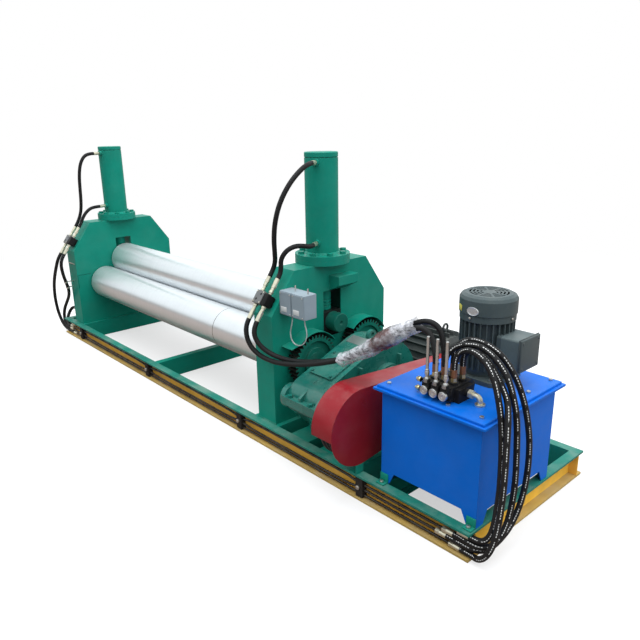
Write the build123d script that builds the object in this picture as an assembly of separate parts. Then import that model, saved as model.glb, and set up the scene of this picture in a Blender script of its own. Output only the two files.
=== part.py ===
from build123d import *
import math
import os

# Plate rolling machine: three long rolls between two stands on a channel base.
# Millimetres. X runs along the rolls towards the oil tank, the operator stands
# at -Y, Z is up and the origin is on the floor under the middle of the base.

# Clearances
RUN_FIT = 0.05
SLIDE_GAP = 0.3
SLOT_SPARE_TOP = 4.0
SLOT_SPARE_LOW = 6.0
ROD_CLEAR = 4.0
SEAT_GAP = 0.02
CUT_OVER = 1.0

# Base
BASE_LENGTH = 3225.0
BASE_WIDTH = 750.0
RAIL_HEIGHT = 100.0
RAIL_FLANGE = 38.0
RAIL_WEB = 5.0
FLANGE_THICK = 8.0
BEAM_WIDTH = 105.0
BEAM_WALL = 6.0
LEDGE = 24.0
BEAM_1_AHEAD = 13.0
BEAM_2_BACK = 62.0
GUARD_MEMBER_BACK = 30.0
TANK_MEMBER_AHEAD = 8.0
MID_MEMBER_SET = 891.9

# Stands
STAND_THICK = 117.5
IDLE_END = 163.05
DRIVE_END = 1053.85
STAND_INSET = 40.0
STAND_TOP = 744.7
STAND_TOP_HALF = 210.0
SHOULDER_Z = 574.0
SLOT_WIDTH = 104.0
LIFT = 90.0
SEAM = 3.0
STOP_RISE = 67.0
STOP_REACH = 59.0
STOP_DEPTH = 38.0
STOP_FRONT = -15.0
STOP_BACK = 103.0

# Rolls
ROLL_RADIUS = 100.0
ROLL_EDGE = 8.0
ROLL_EDGE_STEPS = 3
ROLL_END_GAP = 7.5
LOWER_Y = 154.0
LOWER_Z = 356.0
UPPER_Z = 488.0
UPPER_NECK = 42.0
LOWER_NECK = 47.5
NECK_CHAMFER = 3.0
NECK_PAST = 4.0
UPPER_NECK_PAST = 8.0
COLLAR_WIDTH = 3.0
COLLAR_RISE = 8.0
BUSH_WALL = 13.0
CHOCK_BELOW = 62.0
CHOCK_ABOVE = 45.0
CHOCK_CHAMFER = 3.0
SCRIBE_SET = 456.4
SCRIBE_DEPTH = 1.2
SCRIBE_HALF = 1.5

# Press cylinders
BARREL_RADIUS = 70.5
BARREL_TOP = 1203.6
FLANGE_RADIUS = 118.5
FLANGE_PLATE = 20.0
BOLT_RING = 96.0
CYLINDER_BOLT_FLATS = 24.0
CYLINDER_BOLT_HEIGHT = 11.0
FLANGE_BOLTS = 8
BORE_RADIUS = 55.0
BORE_FLOOR = 12.0
BORE_CROWN = 26.0
BARREL_FILLET = 8.0
BARREL_CHAMFER = 3.0
PISTON_HEIGHT = 60.0
PISTON_RISE = 24.0
ROD_RADIUS = 34.0
ROD_GROOVES = 3
ROD_GROOVE_FIRST = 16.0
ROD_GROOVE_PITCH = 14.0
ROD_GROOVE_WIDTH = 5.0
ROD_GROOVE_DEPTH = 3.0
CAP_SEAM_DROP = 20.0
TOP_PORT_DROP = 39.6
LOW_PORT_RISE = 51.3
PORT_BOSS = 14.0
PORT_ROOT = 6.0
PORT_REACH = 14.0
DRIVE_PORT_TURN = 30.0
IDLE_PORT_TURN = 14.0

# Roll gears
MODULE = 6.0
ROLL_TEETH = 36
PINION_TEETH = 21
PRESSURE_ANGLE = 20.0
BACKLASH = 0.6
DEDENDUM = 1.25
FLANK_START = 0.01
ROLL_FLANK_STEPS = 3
PINION_FLANK_STEPS = 4
GEAR_WIDTH = 52.0
GEAR_GAP = 10.0
GEAR_SEAT = 40.0
GEAR_RECESS = 10.0
GEAR_HUB_WALL = 18.0
GEAR_RIM = 22.0
PINION_NOSE = 4.0
PINION_NOSE_DROP = 6.0
GUARD_SHEET = 3.0
GUARD_CLEAR = 12.0
GUARD_REACH = 66.0
FRONT_GUARD_ARC = (34.0, 132.0)
REAR_GUARD_ARC = (26.0, 134.0)
FRONT_GUARD_FLARE = 52.0
GUARD_FLARE_TURN = 60.0

# Reducer
REDUCER_GAP = 117.6
REDUCER_WIDTH = 222.0
REDUCER_LIP = 25.0
REDUCER_FLANGE = 17.0
LIP_CORNER = 18.0
HOUSING_SIDE = 40.0
HOUSING_FOOT_SET = 62.0
STAGE_SLOW = 200.0
STAGE_FAST = 150.0
CROWN_Y = 4.0
CROWN_RADIUS = 183.0
NOSE_Y = -300.0
NOSE_RADIUS = 78.0
FOOT_PLATE = 18.0
FOOT_AHEAD = 18.0
FOOT_BEHIND = 12.0
PLUG_BACK = 60.0
PLUG_RISE = 42.0
PLUG_REACH = 12.0
PLUG_FLATS = 24.0
OUTPUT_SHAFT = 36.0
INPUT_SHAFT = 22.0
SLOW_BOSS = 92.0
MID_BOSS = 66.0
FAST_BOSS = 50.0
BOSS_DROP = 70.0
CAP_PLATE = 9.0
CAP_HOLE_GAP = 0.4
CAP_EDGE = 8.0
CAP_TAPER = 4.0
RIB_THICK = 10.0
RIB_INSET = 8.0
NOSE_RIB = 12.0
NOSE_RIB_RUN = 36.0
NOSE_RIB_AHEAD = 16.0
NOSE_RIB_RISE = 14.0
NOSE_RIB_CREST = (8.0, 6.0)
COVER_RIB_PLACES = (-0.78, 0.38)
COVER_RIB_RISE = 24.0
EYE_THICK = 16.0
EYE_RADIUS = 24.0
EYE_HOLE = 9.0
COVER_PLATE = 8.0
COVER_WIDTH = 126.0
COVER_LENGTH = 150.0
COVER_PLACE = 0.42
COVER_CORNER = 8.0
COVER_BOLT_INSET = 13.0
COVER_BOLT_RADIUS = 6.0
COVER_BOLT_HEIGHT = 6.0
BREATHER_BACK = 30.0
BREATHER_RADIUS = 16.0
FLANGE_BOLT_FLATS = 18.0
FLANGE_BOLT_HEIGHT = 10.0
NOSE_BOLT_INSET = 28.0
SIDE_BOLT_Y = (-283.0, -113.0, 140.0)

# Belt drive and main motor
GUARD_GAP = 71.0
GUARD_WIDTH = 102.0
DRIVEN_RADIUS = 124.0
MOTOR_PULLEY_RADIUS = 62.0
BELT_COUNT = 3
BELT_PITCH = 19.0
BELT_TOP = 15.0
BELT_FOOT = 9.6
BELT_HEIGHT = 10.5
GROOVE_SPARE = 0.7
GROOVE_BELOW = 1.5
PULLEY_EDGE = 3.0
DISH_DEPTH = 22.0
DISH_HUB = 20.0
DISH_RIM = 30.0
SHAFT_LAP = 10.0
GUARD_MARGIN = 22.0
GUARD_REAR_TRIM = 8.0
GUARD_RIM_DROP = 14.0
GUARD_FOOT = 40.0
MOTOR_BEHIND = 177.0
MOTOR_Z = 292.0
MOTOR_RADIUS = 122.0
MOTOR_FIN = 20.0
MOTOR_FINS = 26
MOTOR_FIN_THICK = 5.0
MOTOR_FIN_ROOT = 6.0
MOTOR_SET = 5.0
MOTOR_LENGTH = 276.0
MOTOR_FOOT_DROP = 150.0
MOTOR_FOOT_THICK = 16.0
MOTOR_FOOT_EDGE = 128.0
MOTOR_FOOT_WEB = 104.0
MOTOR_FOOT_INNER = 70.0
MOTOR_FOOT_TOPS = (90.0, 50.0)
MOTOR_FOOT_INSETS = (20.0, 10.0)
MOTOR_BOLT_Y = 116.0
MOTOR_BOLT_INSETS = (96.0, 50.0)
MOTOR_BOLT_FLATS = 17.0
MOTOR_BOLT_HEIGHT = 8.0
MOTOR_COVER = 62.0
MOTOR_SHIELD = 26.0
MOTOR_STEP = 8.0
MOTOR_NOSE_DROP = 22.0
MOTOR_NOSE_WALL = 26.0
MOTOR_BOX_HALF = 50.0
MOTOR_BOX_DEPTH = 62.0
MOTOR_BOX_ROOT = 6.0
MOTOR_BOX_Z = (-30.0, 60.0)
MOTOR_EYE_SET = 34.0
MOTOR_EYE_ROOT = 4.0
MOTOR_EYE_STEM = 8.0
MOTOR_EYE_RISE = 20.0
MOTOR_EYE_RING = (15.0, 5.0)
MOTOR_DOME = ((0.0, 46.0), (8.0, 22.0), (26.0, 0.0))
MOTOR_DOME_GAP = 2.0
MOTOR_DOME_LAP = 4.0
MOTOR_SHAFT_SEAT = 70.0
BENCH_PLATE = 12.0
BENCH_WEB = 10.0
BENCH_HALF = 140.0
BENCH_LEFT_LAP = 24.0
BENCH_RIGHT_LAP = 12.0
BENCH_TAPER = 8.0

# Oil tank
TANK_END_GAP = 5.5
TANK_LENGTH = 394.0
TANK_INSET = 42.0
TANK_DEPTH = 436.0
TANK_TOP = 467.0
TANK_WALL = 4.0
TANK_FLOOR = 144.0
RIM = 23.0
RIM_THICK = 8.0
LID_THICK = 10.0
LID_INSET = 10.0
LID_CHAMFER = 2.0
LID_BOLT_INSETS = (26.0, 30.0, 32.0, 20.0)
LID_BOLT_SHIFT = 60.0
LID_BOLT_FLATS = 13.0
LID_BOLT_HEIGHT = 6.0
LEG = 37.0
LEG_SLANT = 21.0

# Pump motor
PUMP_ALONG = 187.0
PUMP_BACK = 318.0
PUMP_HEIGHT = 297.0
PUMP_COVER_RADIUS = 97.0
PUMP_COVER_HEIGHT = 64.0
PUMP_COVER_WALL = 2.5
PUMP_COVER_SLOTS = range(24, 72, 12)
PUMP_COVER_SLOT = 6.0
PUMP_COVER_BARS = 4
PUMP_COVER_BAR = 7.0
PUMP_SHELL = 78.0
PUMP_FIN = 14.0
PUMP_FINS = 28
PUMP_FIN_THICK = 4.0
PUMP_FIN_ROOT = 4.0
PUMP_NECK = 60.0
PUMP_NECK_RISE = 24.0
PUMP_NECK_STEP = 4.0
PUMP_RING = 24.0
PUMP_RING_LAP = 2.0
PUMP_RING_INSET = 3.0
PUMP_BOX_ROOT = 4.0
PUMP_BOX_REACH = 82.0
PUMP_BOX_HALF = 56.0
PUMP_BOX_Z = (66.0, 172.0)
PUMP_BOX_CORNER = 8.0
PUMP_FLANGE = 190.0
PUMP_FLANGE_THICK = 16.0
PUMP_FLANGE_CORNER = 22.0
PUMP_BOLT_INSET = 20.0
PUMP_BOLT_FLATS = 15.0
PUMP_BOLT_HEIGHT = 8.0
PUMP_SHAFT = 14.0
PUMP_HOLE_GAP = 6.0
PUMP_COUPLING = 16.0
ROTOR_RISE = 40.0
ROTOR_DROP = 30.0
FAN_RISE = 12.0
FAN_PLATE = 6.0
FAN_HUB_WALL = 8.0
FAN_HUB = 14.0
FAN_INSET = 14.0
FAN_BLADES = 7
FAN_BLADE = (44.0, 4.0, 17.0)
FAN_BLADE_RISE = 26.0
STATOR_WALL = 18.0
BELL_DROP = 80.0
GEARCASE_HEIGHT = 90.0
BELL_WALL = 16.0
BELL_FLANGE = 74.0
BELL_FLANGE_THICK = 10.0
BELL_SHOULDER = (14.0, 58.0)
BELL_FOOT = 52.0
BELL_SEAT = 18.0
GEARCASE_HALF = 46.0
GEARCASE_Y = (-38.0, 62.0)
GEARCASE_CORNER = 20.0
SUCTION_BACK = 30.0
SUCTION_RADIUS = 14.0
SUCTION_RISE = 40.0
STRAINER_RADIUS = 32.0
STRAINER_Z = (22.0, 100.0)

# Valve bank
VALVE_ALONG = 203.0
VALVE_PITCH = 36.5
VALVE_FRONT = 30.0
VALVE_DEPTH = 118.0
VALVE_HEIGHT = 53.0
CAP_RADIUS = 14.5
CAP_REACH = 22.0
LEVER_AHEAD = 7.0
LEVER_SEAT = 12.0
LEVER_SEAT_HEIGHT = 10.0
SPOOL_END = 15.0
SPOOL_END_HALF = 13.0
LEVER_LENGTH = 142.0
LEVER_RADIUS = 4.0
LEVER_BALL = 9.0
LEVER_PIN = 2.5
LEVER_GRIP = 46.0
LEVER_GRIP_SWELL = 2.4
SPOOL_HEIGHT = 28.0
SPOOL_END_TUCK = 8.0
VALVE_EDGE = 8.0
SECTION_JOINT = 0.8
END_PLATE_FRONT = 20.0
END_PLATE_BACK = 16.0
REAR_CAP_REACH = 18.0
REAR_CAP_RADIUS = CAP_RADIUS - 2.0
END_PLATE_LEFT = 20.0
END_PLATE_RIGHT = 14.0
END_BOSS_LEFT = 14.0
END_BOSS_RIGHT = 12.0
END_BOSS_RADIUS = 13.0
VALVE_PORT_BOSS = 14.0
PORT_BOSS_HEIGHT = 8.0
PIPE_NUT = 14.0
PIPE_NUT_FLATS = 26.0
PIPE_REACH = 40.0
PIPE_RADIUS = 9.0
PIPE_BEND = 16.0
PIPE_COLLAR = 16.0
PIPE_COLLAR_HEIGHT = 6.0
PORT_A_BACK = 35.0
PORT_B_BACK = 81.0

# Hydraulic lines
HOSE_RADIUS = 10.0
FERRULE_RADIUS = 10.0
FERRULE_LENGTH = 42.0
NUT_FLATS = 18.0
NUT_LENGTH = 16.0
LINE_RADIUS = 6.0
LINE_INSET = 18.5
LINE_PITCH = 20.5
LINE_LOW_Z = 19.5
LINE_LEFT_SET = (150.5, 100.5, 112.5, 142.5)
LINE_RIGHT_SET = (82.5, 136.5, 110.5, 52.5)
CLAMP_SET = (251.5, 1138.5, 2001.5, 2748.5)
CLAMP_WIDTH = 34.0
CLAMP_COVER = 7.0
CLAMP_GAP = 2.0
CLAMP_CHAMFER = 2.0
CLAMP_BOLT = 7.0
CLAMP_BOLT_FLATS = 15.0
LOCK_LENGTH = 76.0
LOCK_WIDTH = 106.0
LOCK_THICK = 50.0
LOCK_SLIDE = 49.0
LOCK_PORT = 27.0
LOCK_PLATE = 8.0
LOCK_PLATE_OVER = 10.0
LOCK_PLATE_UNDER = 20.0
LOCK_SPLIT = 0.06
LOCK_CHAMFER = 2.0
LOCK_LAP = 0.5
LOCK_CHECK_SHORT = 16.0
LOCK_CHECK_THIN = 4.0
LOCK_CHECK_DROP = 4.0
LOCK_STUB = 12.0
LOCK_STUB_REACH = 16.0
LOCK_STUB_ROOT = 12.0
UNION_THICK = 20.0
UNION_HALF = 22.0
UNION_INSET = 30.0
UNION_Z = 165.0

# Switch boxes
SWITCH_WIDTH = 75.0
SWITCH_INSET = 44.0
SWITCH_DEPTH = 66.0
SWITCH_Z0 = 582.0
SWITCH_HEIGHT = 97.0
SWITCH_CORNER = 5.0
SWITCH_LID = 3.0
SWITCH_PIN_SET = 14.0
SWITCH_PIN = 24.0
SWITCH_PIN_RADIUS = 3.0
WIRE_RADIUS = 2.5
WIRE_EXIT = 17.0
GLAND_LENGTH = 12.0
GLAND_RADIUS = 8.0

# Free points of each hose and of the switch wire
DRIVE_TOP_POINTS = [(640, -182, 1144), (633, -234, 1096), (620, -274, 1028), (604, -290, 952)]
DRIVE_TOP_POINTS += [(588, -286, 880), (568, -268, 820), (546, -250, 778)]
DRIVE_LOW_POINTS = [(642, -180, 846), (634, -216, 849), (620, -244, 836), (607, -258, 814)]
DRIVE_LOW_POINTS += [(597, -262, 790), (590, -256, 764)]
IDLE_TOP_POINTS = [(-1408, -190, 1150), (-1410, -218, 1104), (-1421, -228, 1036), (-1434, -228, 956)]
IDLE_TOP_POINTS += [(-1448, -226, 876), (-1462, -230, 806)]
IDLE_LOW_POINTS = [(-1404, -192, 830), (-1404, -224, 806), (-1411, -244, 774)]
VALVE_OUTER_POINTS = [(1368, -261, 621), (1355, -257, 645), (1340, -256, 662), (1318, -259, 672)]
VALVE_OUTER_POINTS += [(1292, -268, 670), (1258, -282, 652), (1198, -298, 620), (1112, -316, 556)]
VALVE_OUTER_POINTS += [(1012, -333, 500), (898, -349, 456), (782, -361, 424), (676, -375, 408)]
VALVE_OUTER_POINTS += [(594, -391, 422), (546, -405, 464)]
VALVE_INNER_POINTS = [(1371, -218, 614), (1362, -215, 649), (1347, -217, 675), (1321, -223, 687)]
VALVE_INNER_POINTS += [(1291, -232, 684), (1263, -243, 670), (1234, -257, 650), (1182, -270, 602)]
VALVE_INNER_POINTS += [(1100, -288, 544), (1004, -306, 494), (894, -322, 456), (786, -334, 430)]
VALVE_INNER_POINTS += [(694, -350, 422), (630, -376, 442), (598, -402, 484)]
LOOP_1_POINTS = [(1455, -264, 609), (1464, -262, 626), (1483, -264, 639), (1511, -270, 648)]
LOOP_1_POINTS += [(1547, -278, 643), (1579, -285, 625), (1602, -290, 598), (1621, -296, 566)]
LOOP_1_POINTS += [(1641, -299, 500), (1652, -302, 440), (1659, -305, 376), (1664, -309, 312)]
LOOP_1_POINTS += [(1668, -316, 248), (1670, -326, 194), (1671, -337, 150), (1668, -347, 117)]
LOOP_1_POINTS += [(1656, -354, 92)]
LOOP_2_POINTS = [(1457, -222, 608), (1468, -222, 622), (1486, -224, 631), (1512, -228, 631)]
LOOP_2_POINTS += [(1542, -235, 620), (1573, -245, 602), (1600, -255, 578), (1628, -266, 552)]
LOOP_2_POINTS += [(1653, -281, 524), (1670, -302, 470), (1682, -320, 398), (1690, -332, 324)]
LOOP_2_POINTS += [(1693, -340, 238), (1694, -354, 160), (1690, -367, 100), (1674, -374, 56)]
LOOP_2_POINTS += [(1644, -368, 25)]
LOOP_3_POINTS = [(1421, -262, 613), (1433, -253, 632), (1455, -246, 645), (1487, -243, 655)]
LOOP_3_POINTS += [(1523, -244, 658), (1556, -247, 650), (1589, -252, 633), (1615, -254, 609)]
LOOP_3_POINTS += [(1635, -256, 583), (1651, -256, 546), (1667, -253, 486), (1672, -249, 420)]
LOOP_3_POINTS += [(1674, -245, 352), (1676, -242, 270), (1676, -248, 192), (1676, -266, 130)]
LOOP_3_POINTS += [(1674, -298, 86), (1664, -334, 65), (1636, -357, 60.8), (1600, -358.5, 60.7)]
LOOP_4_POINTS = [(1422, -217, 626), (1438, -209, 644), (1467, -206, 657), (1499, -207, 659)]
LOOP_4_POINTS += [(1529, -210, 656), (1559, -212, 646), (1585, -210, 630), (1611, -204, 597)]
LOOP_4_POINTS += [(1633, -195, 555), (1650, -182, 496), (1660, -167, 428), (1664, -152, 350)]
LOOP_4_POINTS += [(1664, -147, 264), (1663, -156, 184), (1660, -180, 118), (1656, -220, 70)]
LOOP_4_POINTS += [(1652, -270, 48), (1650, -302, 43.5), (1645, -328, 41.5), (1630, -348, 41)]
LOOP_4_POINTS += [(1604, -357, 40.2)]
IDLE_OUTER_POINTS = [(-1504, -414, 484), (-1556, -412, 424), (-1620, -404, 358), (-1674, -394, 280)]
IDLE_OUTER_POINTS += [(-1706, -384, 196), (-1710, -374, 112), (-1686, -364, 46), (-1636, -359, 20.5)]
IDLE_INNER_POINTS = [(-1426, -414, 490), (-1440, -404, 430), (-1460, -384, 370), (-1486, -364, 312)]
IDLE_INNER_POINTS += [(-1530, -354, 262), (-1590, -350, 214), (-1644, -352, 160), (-1670, -354, 106)]
IDLE_INNER_POINTS += [(-1660, -356, 62), (-1628, -357.5, 42)]
UNION_POINTS = [(-1628, -312, 152), (-1642, -326, 124), (-1638, -342, 94), (-1614, -354, 70)]
WIRE_POINTS = [(648, -259, 526), (640, -260, 498), (647, -261, 470), (672, -262, 454), (704, -262, 456)]
WIRE_POINTS += [(732, -261, 476), (745, -260, 506), (740, -259, 534)]

# Places that follow from the sizes above
WEB_BACK = BASE_WIDTH / 2 - RAIL_FLANGE
END_X = BASE_LENGTH / 2
IDLE_STAND_X = IDLE_END - END_X
DRIVE_STAND_X = END_X - DRIVE_END
STAND_HALF = BASE_WIDTH / 2 - STAND_INSET
IDLE_X0 = IDLE_STAND_X - STAND_THICK / 2
IDLE_X1 = IDLE_STAND_X + STAND_THICK / 2
DRIVE_X0 = DRIVE_STAND_X - STAND_THICK / 2
DRIVE_X1 = DRIVE_STAND_X + STAND_THICK / 2
FACE_X0 = IDLE_X1 + ROLL_END_GAP
FACE_X1 = DRIVE_X0 - ROLL_END_GAP
MID_MEMBER_X = DRIVE_X0 - MID_MEMBER_SET
SCRIBE_X = FACE_X1 - SCRIBE_SET
SLOT_TOP = UPPER_Z + CHOCK_ABOVE + LIFT + SLOT_SPARE_TOP
SLOT_BOTTOM = UPPER_Z - CHOCK_BELOW - SLOT_SPARE_LOW
GEAR_X0 = DRIVE_X1 + GEAR_GAP
GEAR_X1 = GEAR_X0 + GEAR_WIDTH
ROLL_PITCH = MODULE * ROLL_TEETH / 2
PINION_PITCH = MODULE * PINION_TEETH / 2
PINION_Z = LOWER_Z - math.sqrt((ROLL_PITCH + PINION_PITCH) ** 2 - LOWER_Y**2)
REDUCER_X0 = DRIVE_X1 + REDUCER_GAP
REDUCER_X1 = REDUCER_X0 + REDUCER_WIDTH
GUARD_X0 = REDUCER_X1 + GUARD_GAP
MOTOR_X0 = REDUCER_X0 + MOTOR_SET
MOTOR_X1 = MOTOR_X0 + MOTOR_LENGTH
MOTOR_Y = CROWN_Y + CROWN_RADIUS + MOTOR_BEHIND
INPUT_Y = -STAGE_SLOW - STAGE_FAST
BELT_X = GUARD_X0 + GUARD_WIDTH / 2
BENCH_TOP = MOTOR_Z - MOTOR_FOOT_DROP
LID_BOTTOM = TANK_TOP - LID_THICK
TANK_X1 = END_X - TANK_END_GAP
TANK_X0 = TANK_X1 - TANK_LENGTH
TANK_Y0 = TANK_INSET - BASE_WIDTH / 2
TANK_Y1 = TANK_Y0 + TANK_DEPTH
PUMP_X = TANK_X0 + PUMP_ALONG
PUMP_Y = TANK_Y0 + PUMP_BACK
PUMP_TOP = TANK_TOP + PUMP_HEIGHT
VALVE_X = TANK_X0 + VALVE_ALONG
VALVE_Y0 = TANK_Y0 + VALVE_FRONT
VALVE_Y1 = VALVE_Y0 + VALVE_DEPTH
VALVE_TOP = TANK_TOP + VALVE_HEIGHT
SPOOL_Z = TANK_TOP + SPOOL_HEIGHT
LEVER_Y = VALVE_Y0 - LEVER_AHEAD
LEVER_Z = VALVE_TOP + LEVER_SEAT_HEIGHT
PORT_A_Y = VALVE_Y0 + PORT_A_BACK
PORT_B_Y = VALVE_Y0 + PORT_B_BACK
BEAM_1_X = REDUCER_X0 - BEAM_1_AHEAD
BEAM_2_X = REDUCER_X1 - BEAM_2_BACK
GUARD_MEMBER_X = GUARD_X0 + GUARD_WIDTH - GUARD_MEMBER_BACK
TANK_MEMBER_X = TANK_X0 - TANK_MEMBER_AHEAD
SEAT_TOP = STAND_TOP + FLANGE_PLATE
CYLINDER_BASE = SEAT_TOP + FLANGE_PLATE
TOP_PORT_Z = BARREL_TOP - TOP_PORT_DROP
LOW_PORT_Z = CYLINDER_BASE + LOW_PORT_RISE
SHOULDER_RUN = STAND_HALF - STAND_TOP_HALF
SHOULDER_RISE = STAND_TOP - SHOULDER_Z
SHOULDER_LENGTH = math.hypot(SHOULDER_RUN, SHOULDER_RISE)
LINE_Y = LINE_INSET - BASE_WIDTH / 2
LINE_Z = [LINE_LOW_Z + LINE_PITCH * i for i in range(4)]
LINE_LEFT = [place - END_X for place in LINE_LEFT_SET]
LINE_RIGHT = [END_X - place for place in LINE_RIGHT_SET]
CLAMP_PLACES = [place - END_X for place in CLAMP_SET]
UNION_Y = UNION_INSET - STAND_HALF
SWITCH_Y0 = SWITCH_INSET - STAND_HALF


def prism(points, axis, low, high):
    """Extrude a closed outline along X (points y,z), Y (points x,z) or Z (points x,y)."""
    planes = {
        "X": Plane(origin=(low, 0, 0), x_dir=(0, 1, 0), z_dir=(1, 0, 0)),
        "Y": Plane(origin=(0, high, 0), x_dir=(1, 0, 0), z_dir=(0, -1, 0)),
        "Z": Plane(origin=(0, 0, low), x_dir=(1, 0, 0), z_dir=(0, 0, 1)),
    }
    face = make_face(Polyline(*points, close=True))
    return extrude(planes[axis] * face, high - low)


def block(x, y, z):
    """Rectangular solid between three pairs of limits."""
    outline = [(x[0], y[0]), (x[1], y[0]), (x[1], y[1]), (x[0], y[1])]
    return prism(outline, "Z", z[0], z[1])


def rod(start, end, radius):
    """Round bar between two points."""
    direction = Vector(*end) - Vector(*start)
    plane = Plane(origin=start, z_dir=direction)
    return extrude(plane * Circle(radius), direction.length)


def hex_bar(start, end, flats):
    """Hexagonal bar between two points."""
    direction = Vector(*end) - Vector(*start)
    plane = Plane(origin=start, z_dir=direction)
    return extrude(plane * RegularPolygon(flats / 2, 6, major_radius=False), direction.length)


def turned(profile, axis, a=0.0, b=0.0):
    """Revolve (along, radius) points about X (a, b give y, z) or Z (a, b give x, y)."""
    if axis == "X":
        plane = Plane(origin=(0, a, b), x_dir=(1, 0, 0), z_dir=(0, -1, 0))
        line = Axis((0, a, b), (1, 0, 0))
    else:
        plane = Plane(origin=(a, b, 0), x_dir=(0, 0, 1), z_dir=(0, 1, 0))
        line = Axis((a, b, 0), (0, 0, 1))
    return revolve(plane * make_face(Polyline(*profile, close=True)), line, 360)


def belt_outline(y1, z1, r1, y2, z2, r2):
    """Outline round two circles in the YZ plane, as a face with tangent sides."""
    distance = math.hypot(y2 - y1, z2 - z1)
    lean = math.atan2(z2 - z1, y2 - y1)
    tilt = math.acos((r1 - r2) / distance)

    def at(y, z, r, angle):
        return (y + r * math.cos(angle), z + r * math.sin(angle))

    top1, top2 = at(y1, z1, r1, lean + tilt), at(y2, z2, r2, lean + tilt)
    low1, low2 = at(y1, z1, r1, lean - tilt), at(y2, z2, r2, lean - tilt)
    far1, far2 = at(y1, z1, r1, lean + math.pi), at(y2, z2, r2, lean)
    wire = [
        Line(top1, top2),
        ThreePointArc(top2, far2, low2),
        Line(low2, low1),
        ThreePointArc(low1, far1, top1),
    ]
    return make_face(wire)


def on_yz(face, x):
    """Carry a face drawn in (y, z) to the plane at x."""
    return Plane(origin=(x, 0, 0), x_dir=(0, 1, 0), z_dir=(1, 0, 0)) * face


def channel_x(side):
    """Long channel rail with its flanges turned outwards; side is -1 front, +1 rear."""
    back = side * WEB_BACK
    face = back + side * RAIL_WEB
    edge = side * BASE_WIDTH / 2
    top = RAIL_HEIGHT - FLANGE_THICK
    outline = [(back, 0), (edge, 0), (edge, FLANGE_THICK), (face, FLANGE_THICK), (face, top)]
    outline += [(edge, top), (edge, RAIL_HEIGHT), (back, RAIL_HEIGHT)]
    return prism(outline, "X", -END_X, END_X)


def channel_y(back, toward):
    """Channel across the base, web back at x=back and flanges pointing toward +X or -X."""
    face = back + toward * RAIL_WEB
    edge = back + toward * RAIL_FLANGE
    top = RAIL_HEIGHT - FLANGE_THICK
    outline = [(back, 0), (edge, 0), (edge, FLANGE_THICK), (face, FLANGE_THICK), (face, top)]
    outline += [(edge, top), (edge, RAIL_HEIGHT), (back, RAIL_HEIGHT)]
    return prism(outline, "Y", -WEB_BACK, WEB_BACK)


def box_beam(x0):
    """Hollow beam across the base."""
    outer = block((x0, x0 + BEAM_WIDTH), (-WEB_BACK, WEB_BACK), (0, RAIL_HEIGHT))
    inner = block(
        (x0 + BEAM_WALL, x0 + BEAM_WIDTH - BEAM_WALL),
        (-WEB_BACK, WEB_BACK),
        (BEAM_WALL, RAIL_HEIGHT - BEAM_WALL),
    )
    return outer - inner


def cross_members():
    """Channels and beams that carry the stands, the reducer, the guard and the tank."""
    return [
        channel_y(IDLE_X0 - LEDGE, 1),
        channel_y(IDLE_X1 + LEDGE, -1),
        channel_y(MID_MEMBER_X, -1),
        channel_y(DRIVE_X0 - LEDGE, 1),
        channel_y(DRIVE_X1 + LEDGE, -1),
        box_beam(BEAM_1_X),
        box_beam(BEAM_2_X),
        channel_y(GUARD_MEMBER_X, -1),
        channel_y(TANK_MEMBER_X, 1),
    ]


def stand(x0):
    """Welded stand with a window for the sliding chock and bores for the lower rolls."""
    x1 = x0 + STAND_THICK
    outline = [(-STAND_HALF, RAIL_HEIGHT), (STAND_HALF, RAIL_HEIGHT), (STAND_HALF, SHOULDER_Z)]
    outline += [(STAND_TOP_HALF, STAND_TOP), (-STAND_TOP_HALF, STAND_TOP), (-STAND_HALF, SHOULDER_Z)]
    body = prism(outline, "X", x0, x1)
    body += rod((x0 + STAND_THICK / 2, 0, STAND_TOP), (x0 + STAND_THICK / 2, 0, SEAT_TOP), FLANGE_RADIUS)
    half = SLOT_WIDTH / 2
    body -= block((x0, x1), (-half, half), (SLOT_BOTTOM, SLOT_TOP))
    centre = x0 + STAND_THICK / 2
    body -= rod((centre, 0, SLOT_TOP), (centre, 0, SEAT_TOP), ROD_RADIUS + ROD_CLEAR)
    bore = LOWER_NECK + BUSH_WALL
    for y in (-LOWER_Y, LOWER_Y):
        body -= rod((x0, y, LOWER_Z), (x1, y, LOWER_Z), bore)
    return body


def stop_bracket():
    """Gusseted ledge on the outer face of the drive stand, above the chock window."""
    ledge_top = SLOT_TOP + STOP_RISE
    outline = [(DRIVE_X1, SLOT_TOP), (DRIVE_X1, ledge_top), (DRIVE_X1 + STOP_REACH, ledge_top)]
    outline += [(DRIVE_X1 + STOP_REACH, ledge_top - STOP_DEPTH)]
    return prism(outline, "Y", STOP_FRONT, STOP_BACK)


def chock(x0):
    """Sliding bearing block of the upper roll."""
    half = SLOT_WIDTH / 2 - SLIDE_GAP
    low, high = UPPER_Z - CHOCK_BELOW, UPPER_Z + CHOCK_ABOVE
    body = block((x0, x0 + STAND_THICK), (-half, half), (low, high))
    body = chamfer(body.edges().filter_by(Axis.X), CHOCK_CHAMFER)
    return body - rod((x0, 0, UPPER_Z), (x0 + STAND_THICK, 0, UPPER_Z), UPPER_NECK + RUN_FIT)


def lower_bush(x0, y):
    """Bearing bush of a lower roll in its stand."""
    profile = [(x0, LOWER_NECK + RUN_FIT), (x0 + STAND_THICK, LOWER_NECK + RUN_FIT)]
    outer = LOWER_NECK + BUSH_WALL - SEAT_GAP
    profile += [(x0 + STAND_THICK, outer), (x0, outer)]
    return turned(profile, "X", y, LOWER_Z)


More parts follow.
